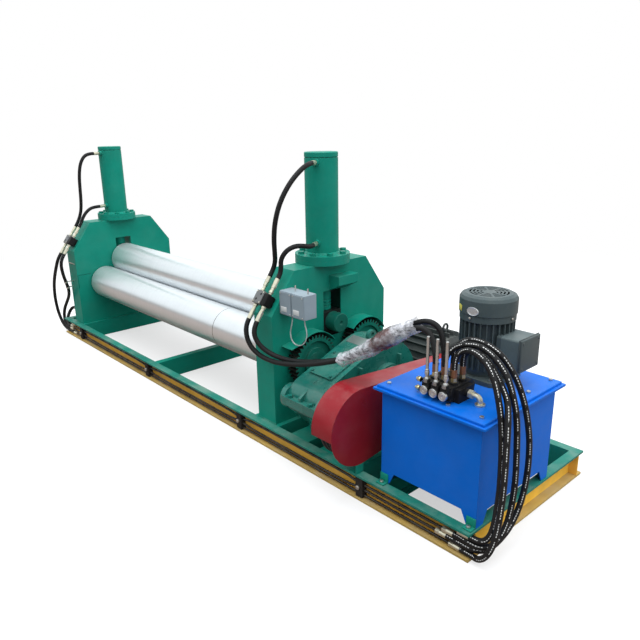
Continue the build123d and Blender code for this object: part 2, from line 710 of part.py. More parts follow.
def roll_profile(neck, left_end, right):
    """Half outline of a roll: face, rounded edges, left neck and stepped right neck."""
    edge, collar = ROLL_EDGE, neck + COLLAR_RISE
    points = [(left_end, 0), (left_end, neck - NECK_CHAMFER), (left_end + NECK_CHAMFER, neck)]
    points += [(FACE_X0 - COLLAR_WIDTH, neck), (FACE_X0 - COLLAR_WIDTH, collar), (FACE_X0, collar)]
    points += [(FACE_X0, ROLL_RADIUS - edge)]
    for step in range(1, ROLL_EDGE_STEPS + 1):
        turn = math.radians(90 / ROLL_EDGE_STEPS * step)
        along = FACE_X0 + edge * (1 - math.cos(turn))
        points.append((along, ROLL_RADIUS - edge + edge * math.sin(turn)))
    middle = list(points[6:])
    mirror = FACE_X0 + FACE_X1
    points += [(mirror - x, r) for x, r in reversed(middle)]
    points += [(FACE_X1, collar), (FACE_X1 + COLLAR_WIDTH, collar), (FACE_X1 + COLLAR_WIDTH, neck)]
    return points + right + [(right[-1][0], 0)]


def upper_roll():
    """Upper roll, carried at both necks by the sliding chocks."""
    end = DRIVE_X1 + UPPER_NECK_PAST
    right = [(end - NECK_CHAMFER, UPPER_NECK), (end, UPPER_NECK - NECK_CHAMFER)]
    return turned(roll_profile(UPPER_NECK, IDLE_X0 - NECK_PAST, right), "X", 0, UPPER_Z)


def lower_roll(y):
    """Driven lower roll with the gear seat on its right neck."""
    step, seat = DRIVE_X1 + NECK_PAST, GEAR_SEAT - SEAT_GAP
    right = [(step, LOWER_NECK), (step, seat), (GEAR_X1 + NECK_PAST, seat)]
    return turned(roll_profile(LOWER_NECK, IDLE_X0 - NECK_PAST, right), "X", y, LOWER_Z)


def scribe_ring(y):
    """Shallow ring turned into the face of the front lower roll."""
    outer, inner = ROLL_RADIUS + CUT_OVER, ROLL_RADIUS - SCRIBE_DEPTH
    profile = [(SCRIBE_X - SCRIBE_HALF, outer), (SCRIBE_X, inner), (SCRIBE_X + SCRIBE_HALF, outer)]
    return turned(profile, "X", y, LOWER_Z)


def involute(angle):
    """Involute function of an angle in radians."""
    return math.tan(angle) - angle


def gear_outline(teeth, phase, steps, y, z):
    """Involute gear outline with a tooth centred at the phase angle."""
    pitch = MODULE * teeth / 2
    base = pitch * math.cos(math.radians(PRESSURE_ANGLE))
    tip, root = pitch + MODULE, pitch - DEDENDUM * MODULE
    start = max(base, root) + FLANK_START
    half = math.pi / (2 * teeth) - BACKLASH / (2 * pitch) + involute(math.radians(PRESSURE_ANGLE))
    flank = [(root, half)] if root < base else []
    for step in range(steps):
        radius = start + (tip - start) * step / (steps - 1)
        flank.append((radius, half - involute(math.acos(base / radius))))
    points = []
    for tooth in range(teeth):
        centre = phase + 2 * math.pi * tooth / teeth
        for radius, offset in flank:
            points.append((y + radius * math.cos(centre - offset), z + radius * math.sin(centre - offset)))
        for radius, offset in reversed(flank):
            points.append((y + radius * math.cos(centre + offset), z + radius * math.sin(centre + offset)))
    return points


def gear_phases():
    """Tooth angles that mesh the pinion with the front and the rear roll gear."""
    rise = PINION_Z - LOWER_Z
    to_front = math.atan2(-rise, -LOWER_Y)
    to_rear = math.atan2(-rise, LOWER_Y)
    pitch_angle = 2 * math.pi / PINION_TEETH
    part = ((to_rear - to_front) / pitch_angle) % 1.0
    roll_pitch_angle = 2 * math.pi / ROLL_TEETH
    front = to_front + math.pi + roll_pitch_angle / 2
    rear = to_rear + math.pi + (part + 0.5) * roll_pitch_angle
    return to_front, front, rear


def roll_gear(y, phase):
    """Spur gear on a lower roll, with a recessed web."""
    body = prism(gear_outline(ROLL_TEETH, phase, ROLL_FLANK_STEPS, y, LOWER_Z), "X", GEAR_X0, GEAR_X1)
    web, hub, rim = GEAR_X1 - GEAR_RECESS, GEAR_SEAT + GEAR_HUB_WALL, ROLL_PITCH - GEAR_RIM
    recess = [(web, hub), (GEAR_X1, hub), (GEAR_X1, rim), (web, rim)]
    body -= turned(recess, "X", y, LOWER_Z)
    return body - rod((GEAR_X0, y, LOWER_Z), (GEAR_X1, y, LOWER_Z), GEAR_SEAT)


def drive_pinion(phase):
    """Pinion between the two roll gears, cut on the end of the reducer's output shaft."""
    outline = gear_outline(PINION_TEETH, phase, PINION_FLANK_STEPS, 0, PINION_Z)
    body = prism(outline, "X", GEAR_X0, GEAR_X1)
    inner, nose = REDUCER_X0 + REDUCER_WIDTH / 2, GEAR_X0 - PINION_NOSE
    shaft = [(nose, 0), (nose, OUTPUT_SHAFT - PINION_NOSE_DROP), (GEAR_X0, OUTPUT_SHAFT)]
    shaft += [(inner, OUTPUT_SHAFT), (inner, 0)]
    return body + turned(shaft, "X", 0, PINION_Z)


def gear_guard(y, first, last, flare):
    """Bent sheet over a roll gear, welded to the stand, with an optional flared end."""
    inner = ROLL_PITCH + MODULE + GUARD_CLEAR
    outer = inner + GUARD_SHEET

    def at(radius, degrees):
        turn = math.radians(degrees)
        return (y + radius * math.cos(turn), LOWER_Z + radius * math.sin(turn))

    middle = (first + last) / 2
    wire = [
        ThreePointArc(at(outer, first), at(outer, middle), at(outer, last)),
        Line(at(outer, last), at(inner, last)),
        ThreePointArc(at(inner, last), at(inner, middle), at(inner, first)),
        Line(at(inner, first), at(outer, first)),
    ]
    body = extrude(on_yz(make_face(wire), DRIVE_X1), GUARD_REACH)
    if flare > 0:
        start_in, start_out = at(inner, last), at(outer, last)
        turn = math.radians(last + GUARD_FLARE_TURN)
        step = (flare * math.cos(turn), flare * math.sin(turn))
        outline = [start_in, start_out, (start_out[0] + step[0], start_out[1] + step[1])]
        outline += [(start_in[0] + step[0], start_in[1] + step[1])]
        body += prism(outline, "X", DRIVE_X1, DRIVE_X1 + GUARD_REACH)
    return body


def press_cylinder(x, port_turn):
    """Press cylinder with its bolt flange, bored for the piston and rod, two port bosses."""
    lower, upper = CYLINDER_BASE + BORE_FLOOR, BARREL_TOP - BORE_CROWN
    seam = BARREL_TOP - CAP_SEAM_DROP
    profile = [(SEAT_TOP, ROD_RADIUS + RUN_FIT), (SEAT_TOP, FLANGE_RADIUS), (CYLINDER_BASE, FLANGE_RADIUS)]
    profile += [(CYLINDER_BASE, BARREL_RADIUS + BARREL_FILLET)]
    profile += [(CYLINDER_BASE + BARREL_FILLET, BARREL_RADIUS)]
    profile += [(seam - SEAM, BARREL_RADIUS), (seam - SEAM, BARREL_RADIUS - SEAM)]
    profile += [(seam, BARREL_RADIUS - SEAM), (seam, BARREL_RADIUS)]
    profile += [(BARREL_TOP - BARREL_CHAMFER, BARREL_RADIUS), (BARREL_TOP, BARREL_RADIUS - BARREL_CHAMFER)]
    profile += [(BARREL_TOP, 0), (upper, 0), (upper, BORE_RADIUS)]
    profile += [(lower, BORE_RADIUS), (lower, ROD_RADIUS + RUN_FIT)]
    body = turned(profile, "Z", x, 0)
    for z in (TOP_PORT_Z, LOW_PORT_Z):
        face = port_point(x, port_turn, z, BARREL_RADIUS + PORT_REACH)
        body += rod(port_point(x, port_turn, z, BARREL_RADIUS - PORT_ROOT), face, PORT_BOSS)
    return body


def port_point(x, port_turn, z, distance):
    """Point on the axis of a cylinder port, measured out from the cylinder's axis."""
    turn = math.radians(port_turn)
    return (x + distance * math.sin(turn), -distance * math.cos(turn), z)


def piston_rod(x):
    """Piston and rod of a press cylinder, standing on the chock."""
    foot = UPPER_Z + CHOCK_ABOVE
    piston = CYLINDER_BASE + PISTON_RISE
    radius, root = ROD_RADIUS, ROD_RADIUS - ROD_GROOVE_DEPTH
    profile = [(foot, 0), (foot, radius)]
    for groove in range(ROD_GROOVES):
        low = foot + ROD_GROOVE_FIRST + ROD_GROOVE_PITCH * groove
        high = low + ROD_GROOVE_WIDTH
        profile += [(low, radius), (low, root), (high, root), (high, radius)]
    profile += [(piston, radius), (piston, BORE_RADIUS - RUN_FIT)]
    profile += [(piston + PISTON_HEIGHT, BORE_RADIUS - RUN_FIT), (piston + PISTON_HEIGHT, 0)]
    return turned(profile, "Z", x, 0)


def reducer_bosses(z0, z1):
    """Half-round bearing bosses on both sides, between two heights."""
    bosses = []
    for y, radius in bearing_places():
        for x in (REDUCER_X0, REDUCER_X1 - REDUCER_LIP):
            boss = rod((x, y, PINION_Z), (x + REDUCER_LIP, y, PINION_Z), radius)
            bosses.append(boss & block((x, x + REDUCER_LIP), (y - radius, y + radius), (z0, z1)))
    return bosses


def bearing_places():
    """Shaft places along the reducer with the radius of their bosses."""
    return [(0.0, SLOW_BOSS), (-STAGE_SLOW, MID_BOSS), (INPUT_Y, FAST_BOSS)]


def reducer_bores():
    """Blind bores for the output shaft on the left and the input shaft on the right."""
    middle = REDUCER_X0 + REDUCER_WIDTH / 2
    ends = (REDUCER_X0 - CUT_OVER, middle + CUT_OVER)
    slow = rod((ends[0], 0, PINION_Z), (ends[1], 0, PINION_Z), OUTPUT_SHAFT + RUN_FIT)
    ends = (middle - CUT_OVER, REDUCER_X1 + CUT_OVER)
    fast = rod((ends[0], INPUT_Y, PINION_Z), (ends[1], INPUT_Y, PINION_Z), INPUT_SHAFT + RUN_FIT)
    return slow + fast


def reducer_lip(z0, z1):
    """Bolt flange at the parting plane."""
    front, rear = NOSE_Y - NOSE_RADIUS - REDUCER_LIP, CROWN_Y + CROWN_RADIUS + REDUCER_LIP
    body = block((REDUCER_X0, REDUCER_X1), (front, rear), (z0, z1))
    return fillet(body.edges().filter_by(Axis.Z), LIP_CORNER)


def reducer_housing():
    """Lower half of the reducer: bolt flange, sloping front and foot plate."""
    x0, x1 = REDUCER_X0 + REDUCER_LIP, REDUCER_X1 - REDUCER_LIP
    front, rear = NOSE_Y - NOSE_RADIUS, CROWN_Y + CROWN_RADIUS
    foot_front = NOSE_Y + HOUSING_FOOT_SET
    outline = [(front, PINION_Z), (front, PINION_Z - HOUSING_SIDE), (foot_front, RAIL_HEIGHT)]
    outline += [(rear, RAIL_HEIGHT), (rear, PINION_Z)]
    body = prism(outline, "X", x0, x1)
    body += reducer_lip(PINION_Z - REDUCER_FLANGE, PINION_Z)
    foot_x = (REDUCER_X0 + RIB_INSET, REDUCER_X1 - RIB_INSET)
    foot_y = (foot_front - FOOT_AHEAD, rear + FOOT_BEHIND)
    body += block(foot_x, foot_y, (RAIL_HEIGHT, RAIL_HEIGHT + FOOT_PLATE))
    for boss in reducer_bosses(PINION_Z - BOSS_DROP, PINION_Z):
        body += boss
    for y in (-STAGE_SLOW / 2, CROWN_Y + CROWN_RADIUS / 2):
        body += reducer_rib(y, RAIL_HEIGHT, PINION_Z)
    plug_y, plug_z = foot_front + PLUG_BACK, RAIL_HEIGHT + PLUG_RISE
    plug = hex_bar((x1, plug_y, plug_z), (x1 + PLUG_REACH, plug_y, plug_z), PLUG_FLATS)
    return body + plug - reducer_bores()


def reducer_rib(y, z0, z1):
    """Upright rib on both sides of the reducer."""
    half = RIB_THICK / 2
    return block((REDUCER_X0 + RIB_INSET, REDUCER_X1 - RIB_INSET), (y - half, y + half), (z0, z1))


def reducer_slope():
    """Point, direction and length of the straight part of the reducer's top."""
    distance = CROWN_Y - NOSE_Y
    lean = math.asin((CROWN_RADIUS - NOSE_RADIUS) / distance)
    low = (NOSE_Y - NOSE_RADIUS * math.sin(lean), PINION_Z + NOSE_RADIUS * math.cos(lean))
    return low, lean, distance * math.cos(lean)


def reducer_cover():
    """Upper half of the reducer: domed crown sloping to the nose, flange, bosses and ribs."""
    x0, x1 = REDUCER_X0 + REDUCER_LIP, REDUCER_X1 - REDUCER_LIP
    face = belt_outline(NOSE_Y, PINION_Z, NOSE_RADIUS, CROWN_Y, PINION_Z, CROWN_RADIUS)
    body = extrude(on_yz(face, x0), x1 - x0)
    keep_y = (NOSE_Y - 2 * NOSE_RADIUS, CROWN_Y + 2 * CROWN_RADIUS)
    body = body & block((x0, x1), keep_y, (PINION_Z, PINION_Z + 2 * CROWN_RADIUS))
    body += reducer_lip(PINION_Z, PINION_Z + REDUCER_FLANGE)
    for boss in reducer_bosses(PINION_Z, PINION_Z + SLOW_BOSS):
        body += boss
    low, lean, _ = reducer_slope()
    middle = (x0 + x1) / 2
    nose = NOSE_Y - NOSE_RADIUS - NOSE_RIB_AHEAD
    end = low[0] + NOSE_RIB_RUN
    rib = [(nose, PINION_Z), (nose, PINION_Z + REDUCER_FLANGE + NOSE_RIB_RISE)]
    rib += [(low[0] + NOSE_RIB_CREST[0], low[1] + NOSE_RIB_CREST[1])]
    rib += [(end, low[1] + NOSE_RIB_RUN * math.tan(lean)), (end, PINION_Z)]
    body += prism(rib, "X", middle - NOSE_RIB / 2, middle + NOSE_RIB / 2)
    for share in COVER_RIB_PLACES:
        body += reducer_rib(STAGE_SLOW * share, PINION_Z, PINION_Z + SLOW_BOSS + COVER_RIB_RISE)
    eye_z = PINION_Z + CROWN_RADIUS + EYE_RADIUS / 3
    eye_x = (middle - EYE_THICK / 2, middle + EYE_THICK / 2)
    eye = rod((eye_x[0], CROWN_Y, eye_z), (eye_x[1], CROWN_Y, eye_z), EYE_RADIUS)
    hole_z = eye_z + EYE_RADIUS / 4
    eye -= rod((eye_x[0], CROWN_Y, hole_z), (eye_x[1], CROWN_Y, hole_z), EYE_HOLE)
    return body + eye - reducer_bores()


def inspection_cover():
    """Bolted plate on the sloping top of the reducer, with a breather."""
    low, lean, length = reducer_slope()
    middle = REDUCER_X0 + REDUCER_WIDTH / 2
    plane = Plane(
        origin=(middle, low[0], low[1]),
        x_dir=(1, 0, 0),
        z_dir=(0, -math.sin(lean), math.cos(lean)),
    )
    centre = length * COVER_PLACE
    plate = Pos(0, centre, COVER_PLATE / 2) * Box(COVER_WIDTH, COVER_LENGTH, COVER_PLATE)
    plate = fillet(plate.edges().filter_by(Axis.Z), COVER_CORNER)
    breather = Cylinder(BREATHER_RADIUS, COVER_PLATE * 2)
    body = plate + Pos(0, centre + BREATHER_BACK, COVER_PLATE * 2) * breather
    bolt_x, bolt_y = COVER_WIDTH / 2 - COVER_BOLT_INSET, COVER_LENGTH / 2 - COVER_BOLT_INSET
    for x in (-bolt_x, bolt_x):
        for y in (-bolt_y, bolt_y):
            head = Cylinder(COVER_BOLT_RADIUS, COVER_BOLT_HEIGHT)
            body += Pos(x, centre + y, COVER_PLATE + COVER_BOLT_HEIGHT / 2) * head
    return plane * body


def bearing_caps():
    """End caps bolted over the bearings on both sides of the reducer."""
    caps = []
    for y, radius in bearing_places():
        for x, side in ((REDUCER_X0, -1), (REDUCER_X1, 1)):
            hole = 0.0
            if side < 0 and y == 0.0:
                hole = OUTPUT_SHAFT + CAP_HOLE_GAP
            if side > 0 and y == INPUT_Y:
                hole = INPUT_SHAFT + CAP_HOLE_GAP
            far = x + side * CAP_PLATE
            edge = radius - CAP_EDGE
            profile = [(x, hole), (x, edge), (far, edge - CAP_TAPER), (far, hole)]
            caps.append(turned(profile, "X", y, PINION_Z))
    return caps


def groove_profile(x0, x1, radius, hub):
    """Half outline of a grooved pulley between two X limits."""
    points = [(x0, hub), (x0, radius)]
    for index in range(BELT_COUNT):
        centre = BELT_X + BELT_PITCH * (index - (BELT_COUNT - 1) / 2)
        top, foot = BELT_TOP / 2 + GROOVE_SPARE, BELT_FOOT / 2 + GROOVE_SPARE
        floor = radius - BELT_HEIGHT - GROOVE_BELOW
        points += [(centre - top, radius), (centre - foot, floor)]
        points += [(centre + foot, floor), (centre + top, radius)]
    return points + [(x1, radius), (x1, hub)]


def pulley_limits():
    """Left and right ends of both pulleys."""
    half = BELT_PITCH * BELT_COUNT / 2 + PULLEY_EDGE
    return BELT_X - half, BELT_X + half


def driven_pulley():
    """Large pulley with a dished web, on the reducer's input shaft."""
    x0, x1 = pulley_limits()
    body = turned(groove_profile(x0, x1, DRIVEN_RADIUS, 0), "X", INPUT_Y, PINION_Z)
    web, hub, rim = x1 - DISH_DEPTH, INPUT_SHAFT + DISH_HUB, DRIVEN_RADIUS - DISH_RIM
    dish = [(web, hub), (x1, hub), (x1, rim), (web, rim)]
    body -= turned(dish, "X", INPUT_Y, PINION_Z)
    middle = REDUCER_X0 + REDUCER_WIDTH / 2
    return body + rod((middle, INPUT_Y, PINION_Z), (x0 + SHAFT_LAP, INPUT_Y, PINION_Z), INPUT_SHAFT)


def motor_pulley():
    """Small pulley on the shaft of the main motor."""
    x0, x1 = pulley_limits()
    body = turned(groove_profile(x0, x1, MOTOR_PULLEY_RADIUS, 0), "X", MOTOR_Y, MOTOR_Z)
    inner = MOTOR_X1 - MOTOR_SHAFT_SEAT
    return body + rod((inner, MOTOR_Y, MOTOR_Z), (x0 + SHAFT_LAP, MOTOR_Y, MOTOR_Z), INPUT_SHAFT)


def v_belts():
    """Belts round both pulleys, each as wide as the foot of its groove."""
    belts = []
    for index in range(BELT_COUNT):
        centre = BELT_X + BELT_PITCH * (index - (BELT_COUNT - 1) / 2)
        outer = belt_outline(INPUT_Y, PINION_Z, DRIVEN_RADIUS, MOTOR_Y, MOTOR_Z, MOTOR_PULLEY_RADIUS)
        large, small = DRIVEN_RADIUS - BELT_HEIGHT, MOTOR_PULLEY_RADIUS - BELT_HEIGHT
        inner = belt_outline(INPUT_Y, PINION_Z, large, MOTOR_Y, MOTOR_Z, small)
        belts.append(extrude(on_yz(outer - inner, centre - BELT_FOOT / 2), BELT_FOOT))
    return belts


def belt_guard():
    """Sheet guard: outer plate, rim over the top and round the ends, two feet on the rails."""
    x1 = GUARD_X0 + GUARD_WIDTH
    front = DRIVEN_RADIUS + GUARD_MARGIN
    rear = MOTOR_PULLEY_RADIUS + GUARD_MARGIN - GUARD_REAR_TRIM
    outer = belt_outline(INPUT_Y, PINION_Z, front, MOTOR_Y, MOTOR_Z, rear)
    inner = belt_outline(
        INPUT_Y, PINION_Z, front - GUARD_SHEET, MOTOR_Y, MOTOR_Z, rear - GUARD_SHEET
    )
    rim = extrude(on_yz(outer - inner, GUARD_X0), GUARD_WIDTH)
    keep_y = (INPUT_Y - 2 * front, MOTOR_Y + 2 * front)
    rim &= block((GUARD_X0, x1), keep_y, (PINION_Z - GUARD_RIM_DROP, PINION_Z + 2 * front))
    plate = extrude(on_yz(outer, x1 - GUARD_SHEET), GUARD_SHEET)
    for y in (-BASE_WIDTH / 2, WEB_BACK):
        low = (y, RAIL_HEIGHT)
        foot = [low, (y + RAIL_FLANGE, RAIL_HEIGHT), (y + RAIL_FLANGE, PINION_Z), (y, PINION_Z)]
        plate += prism(foot, "X", x1 - GUARD_SHEET, x1)
        foot_z = (RAIL_HEIGHT, RAIL_HEIGHT + GUARD_SHEET)
        plate += block((x1 - GUARD_FOOT, x1), (y, y + RAIL_FLANGE), foot_z)
    return plate + rim


def main_motor_body():
    """Finned motor housing with end shields, feet, terminal box and lifting eye."""
    shaft = INPUT_SHAFT + RUN_FIT
    fin0, fin1 = MOTOR_X0 + MOTOR_COVER, MOTOR_X1 - MOTOR_SHIELD
    start, seat = fin0 - MOTOR_STEP, MOTOR_X1 - MOTOR_SHAFT_SEAT
    profile = [(start, 0), (start, MOTOR_RADIUS), (fin1 + MOTOR_STEP, MOTOR_RADIUS)]
    profile += [(MOTOR_X1 - MOTOR_STEP, MOTOR_RADIUS - MOTOR_NOSE_DROP)]
    profile += [(MOTOR_X1, INPUT_SHAFT + MOTOR_NOSE_WALL), (MOTOR_X1, shaft), (seat, shaft), (seat, 0)]
    body = turned(profile, "X", MOTOR_Y, MOTOR_Z)
    for index in range(MOTOR_FINS):
        angle = 360 / MOTOR_FINS * (index + 0.5)
        fin = Box(fin1 - fin0, MOTOR_FIN_THICK, MOTOR_FIN + MOTOR_FIN_ROOT)
        place = Pos((fin0 + fin1) / 2, MOTOR_Y, MOTOR_Z) * Rot(angle, 0, 0)
        body += place * Pos(0, 0, MOTOR_RADIUS + (MOTOR_FIN - MOTOR_FIN_ROOT) / 2) * fin
    for side in (-1, 1):
        y0, y1 = MOTOR_Y + side * MOTOR_FOOT_INNER, MOTOR_Y + side * MOTOR_FOOT_EDGE
        web, top = MOTOR_Y + side * MOTOR_FOOT_WEB, BENCH_TOP + MOTOR_FOOT_THICK
        leg = [(y0, MOTOR_Z - MOTOR_FOOT_TOPS[0]), (y0, BENCH_TOP), (y1, BENCH_TOP), (y1, top), (web, top)]
        leg += [(web, MOTOR_Z - MOTOR_FOOT_TOPS[1])]
        body += prism(leg, "X", fin0 + MOTOR_FOOT_INSETS[0], fin1 - MOTOR_FOOT_INSETS[1])
    middle = (fin0 + fin1) / 2
    box_x = (middle - MOTOR_BOX_HALF, middle + MOTOR_BOX_HALF)
    side_y = MOTOR_Y + MOTOR_RADIUS - MOTOR_BOX_ROOT
    box_z = (MOTOR_Z + MOTOR_BOX_Z[0], MOTOR_Z + MOTOR_BOX_Z[1])
    body += block(box_x, (side_y, side_y + MOTOR_BOX_DEPTH), box_z)
    root = MOTOR_Z + MOTOR_RADIUS - MOTOR_EYE_ROOT
    eye_x, stem = fin1 - MOTOR_EYE_SET, root + MOTOR_FIN + MOTOR_EYE_STEM
    body += rod((eye_x, MOTOR_Y, root), (eye_x, MOTOR_Y, stem), MOTOR_EYE_STEM)
    ring = Rot(0, 90, 0) * Torus(*MOTOR_EYE_RING)
    return body + Pos(eye_x, MOTOR_Y, root + MOTOR_FIN + MOTOR_EYE_RISE) * ring


def motor_fan_cover():
    """Domed fan cover at the left end of the main motor."""
    outer, fin0 = MOTOR_RADIUS + MOTOR_FIN, MOTOR_X0 + MOTOR_COVER
    edge, inner, back = fin0 - MOTOR_DOME_GAP, MOTOR_RADIUS - MOTOR_DOME_LAP, fin0 - MOTOR_STEP
    profile = [(MOTOR_X0, 0)]
    profile += [(MOTOR_X0 + along, outer - drop) for along, drop in MOTOR_DOME]
    profile += [(edge, outer), (edge, inner), (back, inner), (back, 0)]
    return turned(profile, "X", MOTOR_Y, MOTOR_Z)


def motor_bench():
    """Raised bench of the main motor, reaching past the rear rail."""
    x0, x1 = BEAM_1_X + BEAM_WIDTH - BENCH_LEFT_LAP, BEAM_2_X + BEAM_WIDTH - BENCH_RIGHT_LAP
    y0, y1 = MOTOR_Y - BENCH_HALF, MOTOR_Y + BENCH_HALF
    low = BENCH_TOP - BENCH_PLATE
    body = block((x0, x1), (y0, y1), (low, BENCH_TOP))
    web = [(y0, low), (y0, RAIL_HEIGHT), (BASE_WIDTH / 2, RAIL_HEIGHT), (y1, low - BENCH_TAPER), (y1, low)]
    for x in (x0, x1 - BENCH_WEB):
        body += prism(web, "X", x, x + BENCH_WEB)
    return body


def skirt_cut(low, high):
    """Trapezoid cut out of the foot of a tank wall, between its two legs."""
    top, under = TANK_FLOOR, RAIL_HEIGHT - CUT_OVER
    points = [(low + LEG, under), (low + LEG + LEG_SLANT, top), (high - LEG - LEG_SLANT, top)]
    return points + [(high - LEG, under)]


def tank_body():
    """Folded sheet tank standing on four corner legs, with a rim for the lid."""
    rim_top = LID_BOTTOM
    outer = block((TANK_X0, TANK_X1), (TANK_Y0, TANK_Y1), (RAIL_HEIGHT, rim_top))
    inner_x = (TANK_X0 + TANK_WALL, TANK_X1 - TANK_WALL)
    inner_y = (TANK_Y0 + TANK_WALL, TANK_Y1 - TANK_WALL)
    rim_x, rim_y = (TANK_X0 - RIM, TANK_X1 + RIM), (TANK_Y0 - RIM, TANK_Y1 + RIM)
    body = outer + block(rim_x, rim_y, (rim_top - RIM_THICK, rim_top))
    body -= block(inner_x, inner_y, (TANK_FLOOR + TANK_WALL, rim_top))
    body -= block(inner_x, inner_y, (RAIL_HEIGHT, TANK_FLOOR))
    body -= prism(skirt_cut(TANK_X0, TANK_X1), "Y", TANK_Y0, TANK_Y1)
    body -= prism(skirt_cut(TANK_Y0, TANK_Y1), "X", TANK_X0, TANK_X1)
    return body


def tank_lid():
    """Lid plate with openings for the pump shaft and the return pipe."""
    x = (TANK_X0 - RIM + LID_INSET, TANK_X1 + RIM - LID_INSET)
    y = (TANK_Y0 - RIM + LID_INSET, TANK_Y1 + RIM - LID_INSET)
    body = block(x, y, (LID_BOTTOM, TANK_TOP))
    body = chamfer(body.faces().sort_by(Axis.Z)[-1].edges(), LID_CHAMFER)
    hole = PUMP_SHAFT + PUMP_HOLE_GAP
    return body - rod((PUMP_X, PUMP_Y, LID_BOTTOM), (PUMP_X, PUMP_Y, TANK_TOP), hole)


def pump_motor_body():
    """Flange motor standing on the lid: square flange, neck, finned shell, terminal box."""
    foot, top = TANK_TOP, PUMP_TOP - PUMP_COVER_HEIGHT
    half = PUMP_FLANGE / 2
    neck = foot + PUMP_FLANGE_THICK
    flange = block((PUMP_X - half, PUMP_X + half), (PUMP_Y - half, PUMP_Y + half), (foot, neck))
    body = fillet(flange.edges().filter_by(Axis.Z), PUMP_FLANGE_CORNER)
    outline = [(foot, 0), (foot, PUMP_NECK), (neck, PUMP_SHELL - PUMP_NECK_STEP)]
    outline += [(neck + PUMP_NECK_RISE, PUMP_SHELL), (top, PUMP_SHELL), (top, 0)]
    body += turned(outline, "Z", PUMP_X, PUMP_Y)
    low, inner, outer = top - PUMP_RING, PUMP_SHELL - PUMP_RING_LAP, PUMP_COVER_RADIUS - PUMP_RING_INSET
    ring = [(low, inner), (low, outer), (top, outer), (top, inner)]
    body += turned(ring, "Z", PUMP_X, PUMP_Y)
    fin0, fin1 = neck + PUMP_NECK_RISE + PUMP_RING_LAP, low
    for index in range(PUMP_FINS):
        fin = Box(PUMP_FIN + PUMP_FIN_ROOT, PUMP_FIN_THICK, fin1 - fin0)
        fin = Pos(PUMP_SHELL + (PUMP_FIN - PUMP_FIN_ROOT) / 2, 0, (fin0 + fin1) / 2) * fin
        body += Pos(PUMP_X, PUMP_Y, 0) * Rot(0, 0, 360 / PUMP_FINS * (index + 0.5)) * fin
    box_x = (PUMP_X + PUMP_SHELL - PUMP_BOX_ROOT, PUMP_X + PUMP_SHELL + PUMP_BOX_REACH)
    box_y = (PUMP_Y - PUMP_BOX_HALF, PUMP_Y + PUMP_BOX_HALF)
    terminal = block(box_x, box_y, (TANK_TOP + PUMP_BOX_Z[0], TANK_TOP + PUMP_BOX_Z[1]))
    body += fillet(terminal.edges().filter_by(Axis.X), PUMP_BOX_CORNER)
    stator = PUMP_SHELL - STATOR_WALL
    hollow = [(foot, 0), (foot, stator), (top, stator), (top, 0)]
    return body - turned(hollow, "Z", PUMP_X, PUMP_Y)


def pump_motor_fan_cover():
    """Fan cover with a rounded shoulder and ring slots in its top."""
    low, top, radius = PUMP_TOP - PUMP_COVER_HEIGHT, PUMP_TOP, PUMP_COVER_RADIUS
    wall = PUMP_COVER_WALL
    profile = [(low, radius - wall), (low, radius), (top - 16, radius), (top - 6, radius - 6)]
    profile += [(top, radius - 18), (top, 0), (top - wall, 0), (top - wall, radius - 19)]
    profile += [(top - 8, radius - 9), (top - 17, radius - wall)]
    body = turned(profile, "Z", PUMP_X, PUMP_Y)
    for inner in PUMP_COVER_SLOTS:
        outer, below, above = inner + PUMP_COVER_SLOT, top - PUMP_COVER_WALL - CUT_OVER, top + CUT_OVER
        ring = turned([(below, inner), (above, inner), (above, outer), (below, outer)], "Z", PUMP_X, PUMP_Y)
        for index in range(PUMP_COVER_BARS):
            bar = Box(4 * radius, PUMP_COVER_BAR, 4 * PUMP_COVER_BAR)
            ring -= Pos(PUMP_X, PUMP_Y, top) * Rot(0, 0, 180 / PUMP_COVER_BARS * index) * bar
        body -= ring
    return body


def pump_rotor():
    """Shaft of the pump motor with its rotor and fan, reaching down into the pump."""
    top = PUMP_TOP - PUMP_COVER_HEIGHT
    foot = LID_BOTTOM - BELL_DROP - PUMP_COUPLING
    core, low, high = PUMP_SHELL - STATOR_WALL - CAP_HOLE_GAP, TANK_TOP + ROTOR_RISE, top - ROTOR_DROP
    profile = [(foot, 0), (foot, PUMP_SHAFT), (low, PUMP_SHAFT), (low, core)]
    profile += [(high, core), (high, PUMP_SHAFT)]
    fan, hub = PUMP_COVER_RADIUS - FAN_INSET, PUMP_SHAFT + FAN_HUB_WALL
    under, plate = top + FAN_RISE, top + FAN_RISE + FAN_PLATE
    profile += [(under, PUMP_SHAFT), (under, fan), (plate, fan), (plate, hub)]
    profile += [(plate + FAN_HUB, hub), (plate + FAN_HUB, 0)]
    body = turned(profile, "Z", PUMP_X, PUMP_Y)
    for index in range(FAN_BLADES):
        blade = Box(PUMP_COVER_RADIUS - FAN_BLADE[0], FAN_BLADE[1], FAN_BLADE[2])
        blade = Pos((PUMP_SHAFT + PUMP_COVER_RADIUS) / 2, 0, top + FAN_BLADE_RISE) * blade
        body += Pos(PUMP_X, PUMP_Y, 0) * Rot(0, 0, 360 / FAN_BLADES * index) * blade
    return body


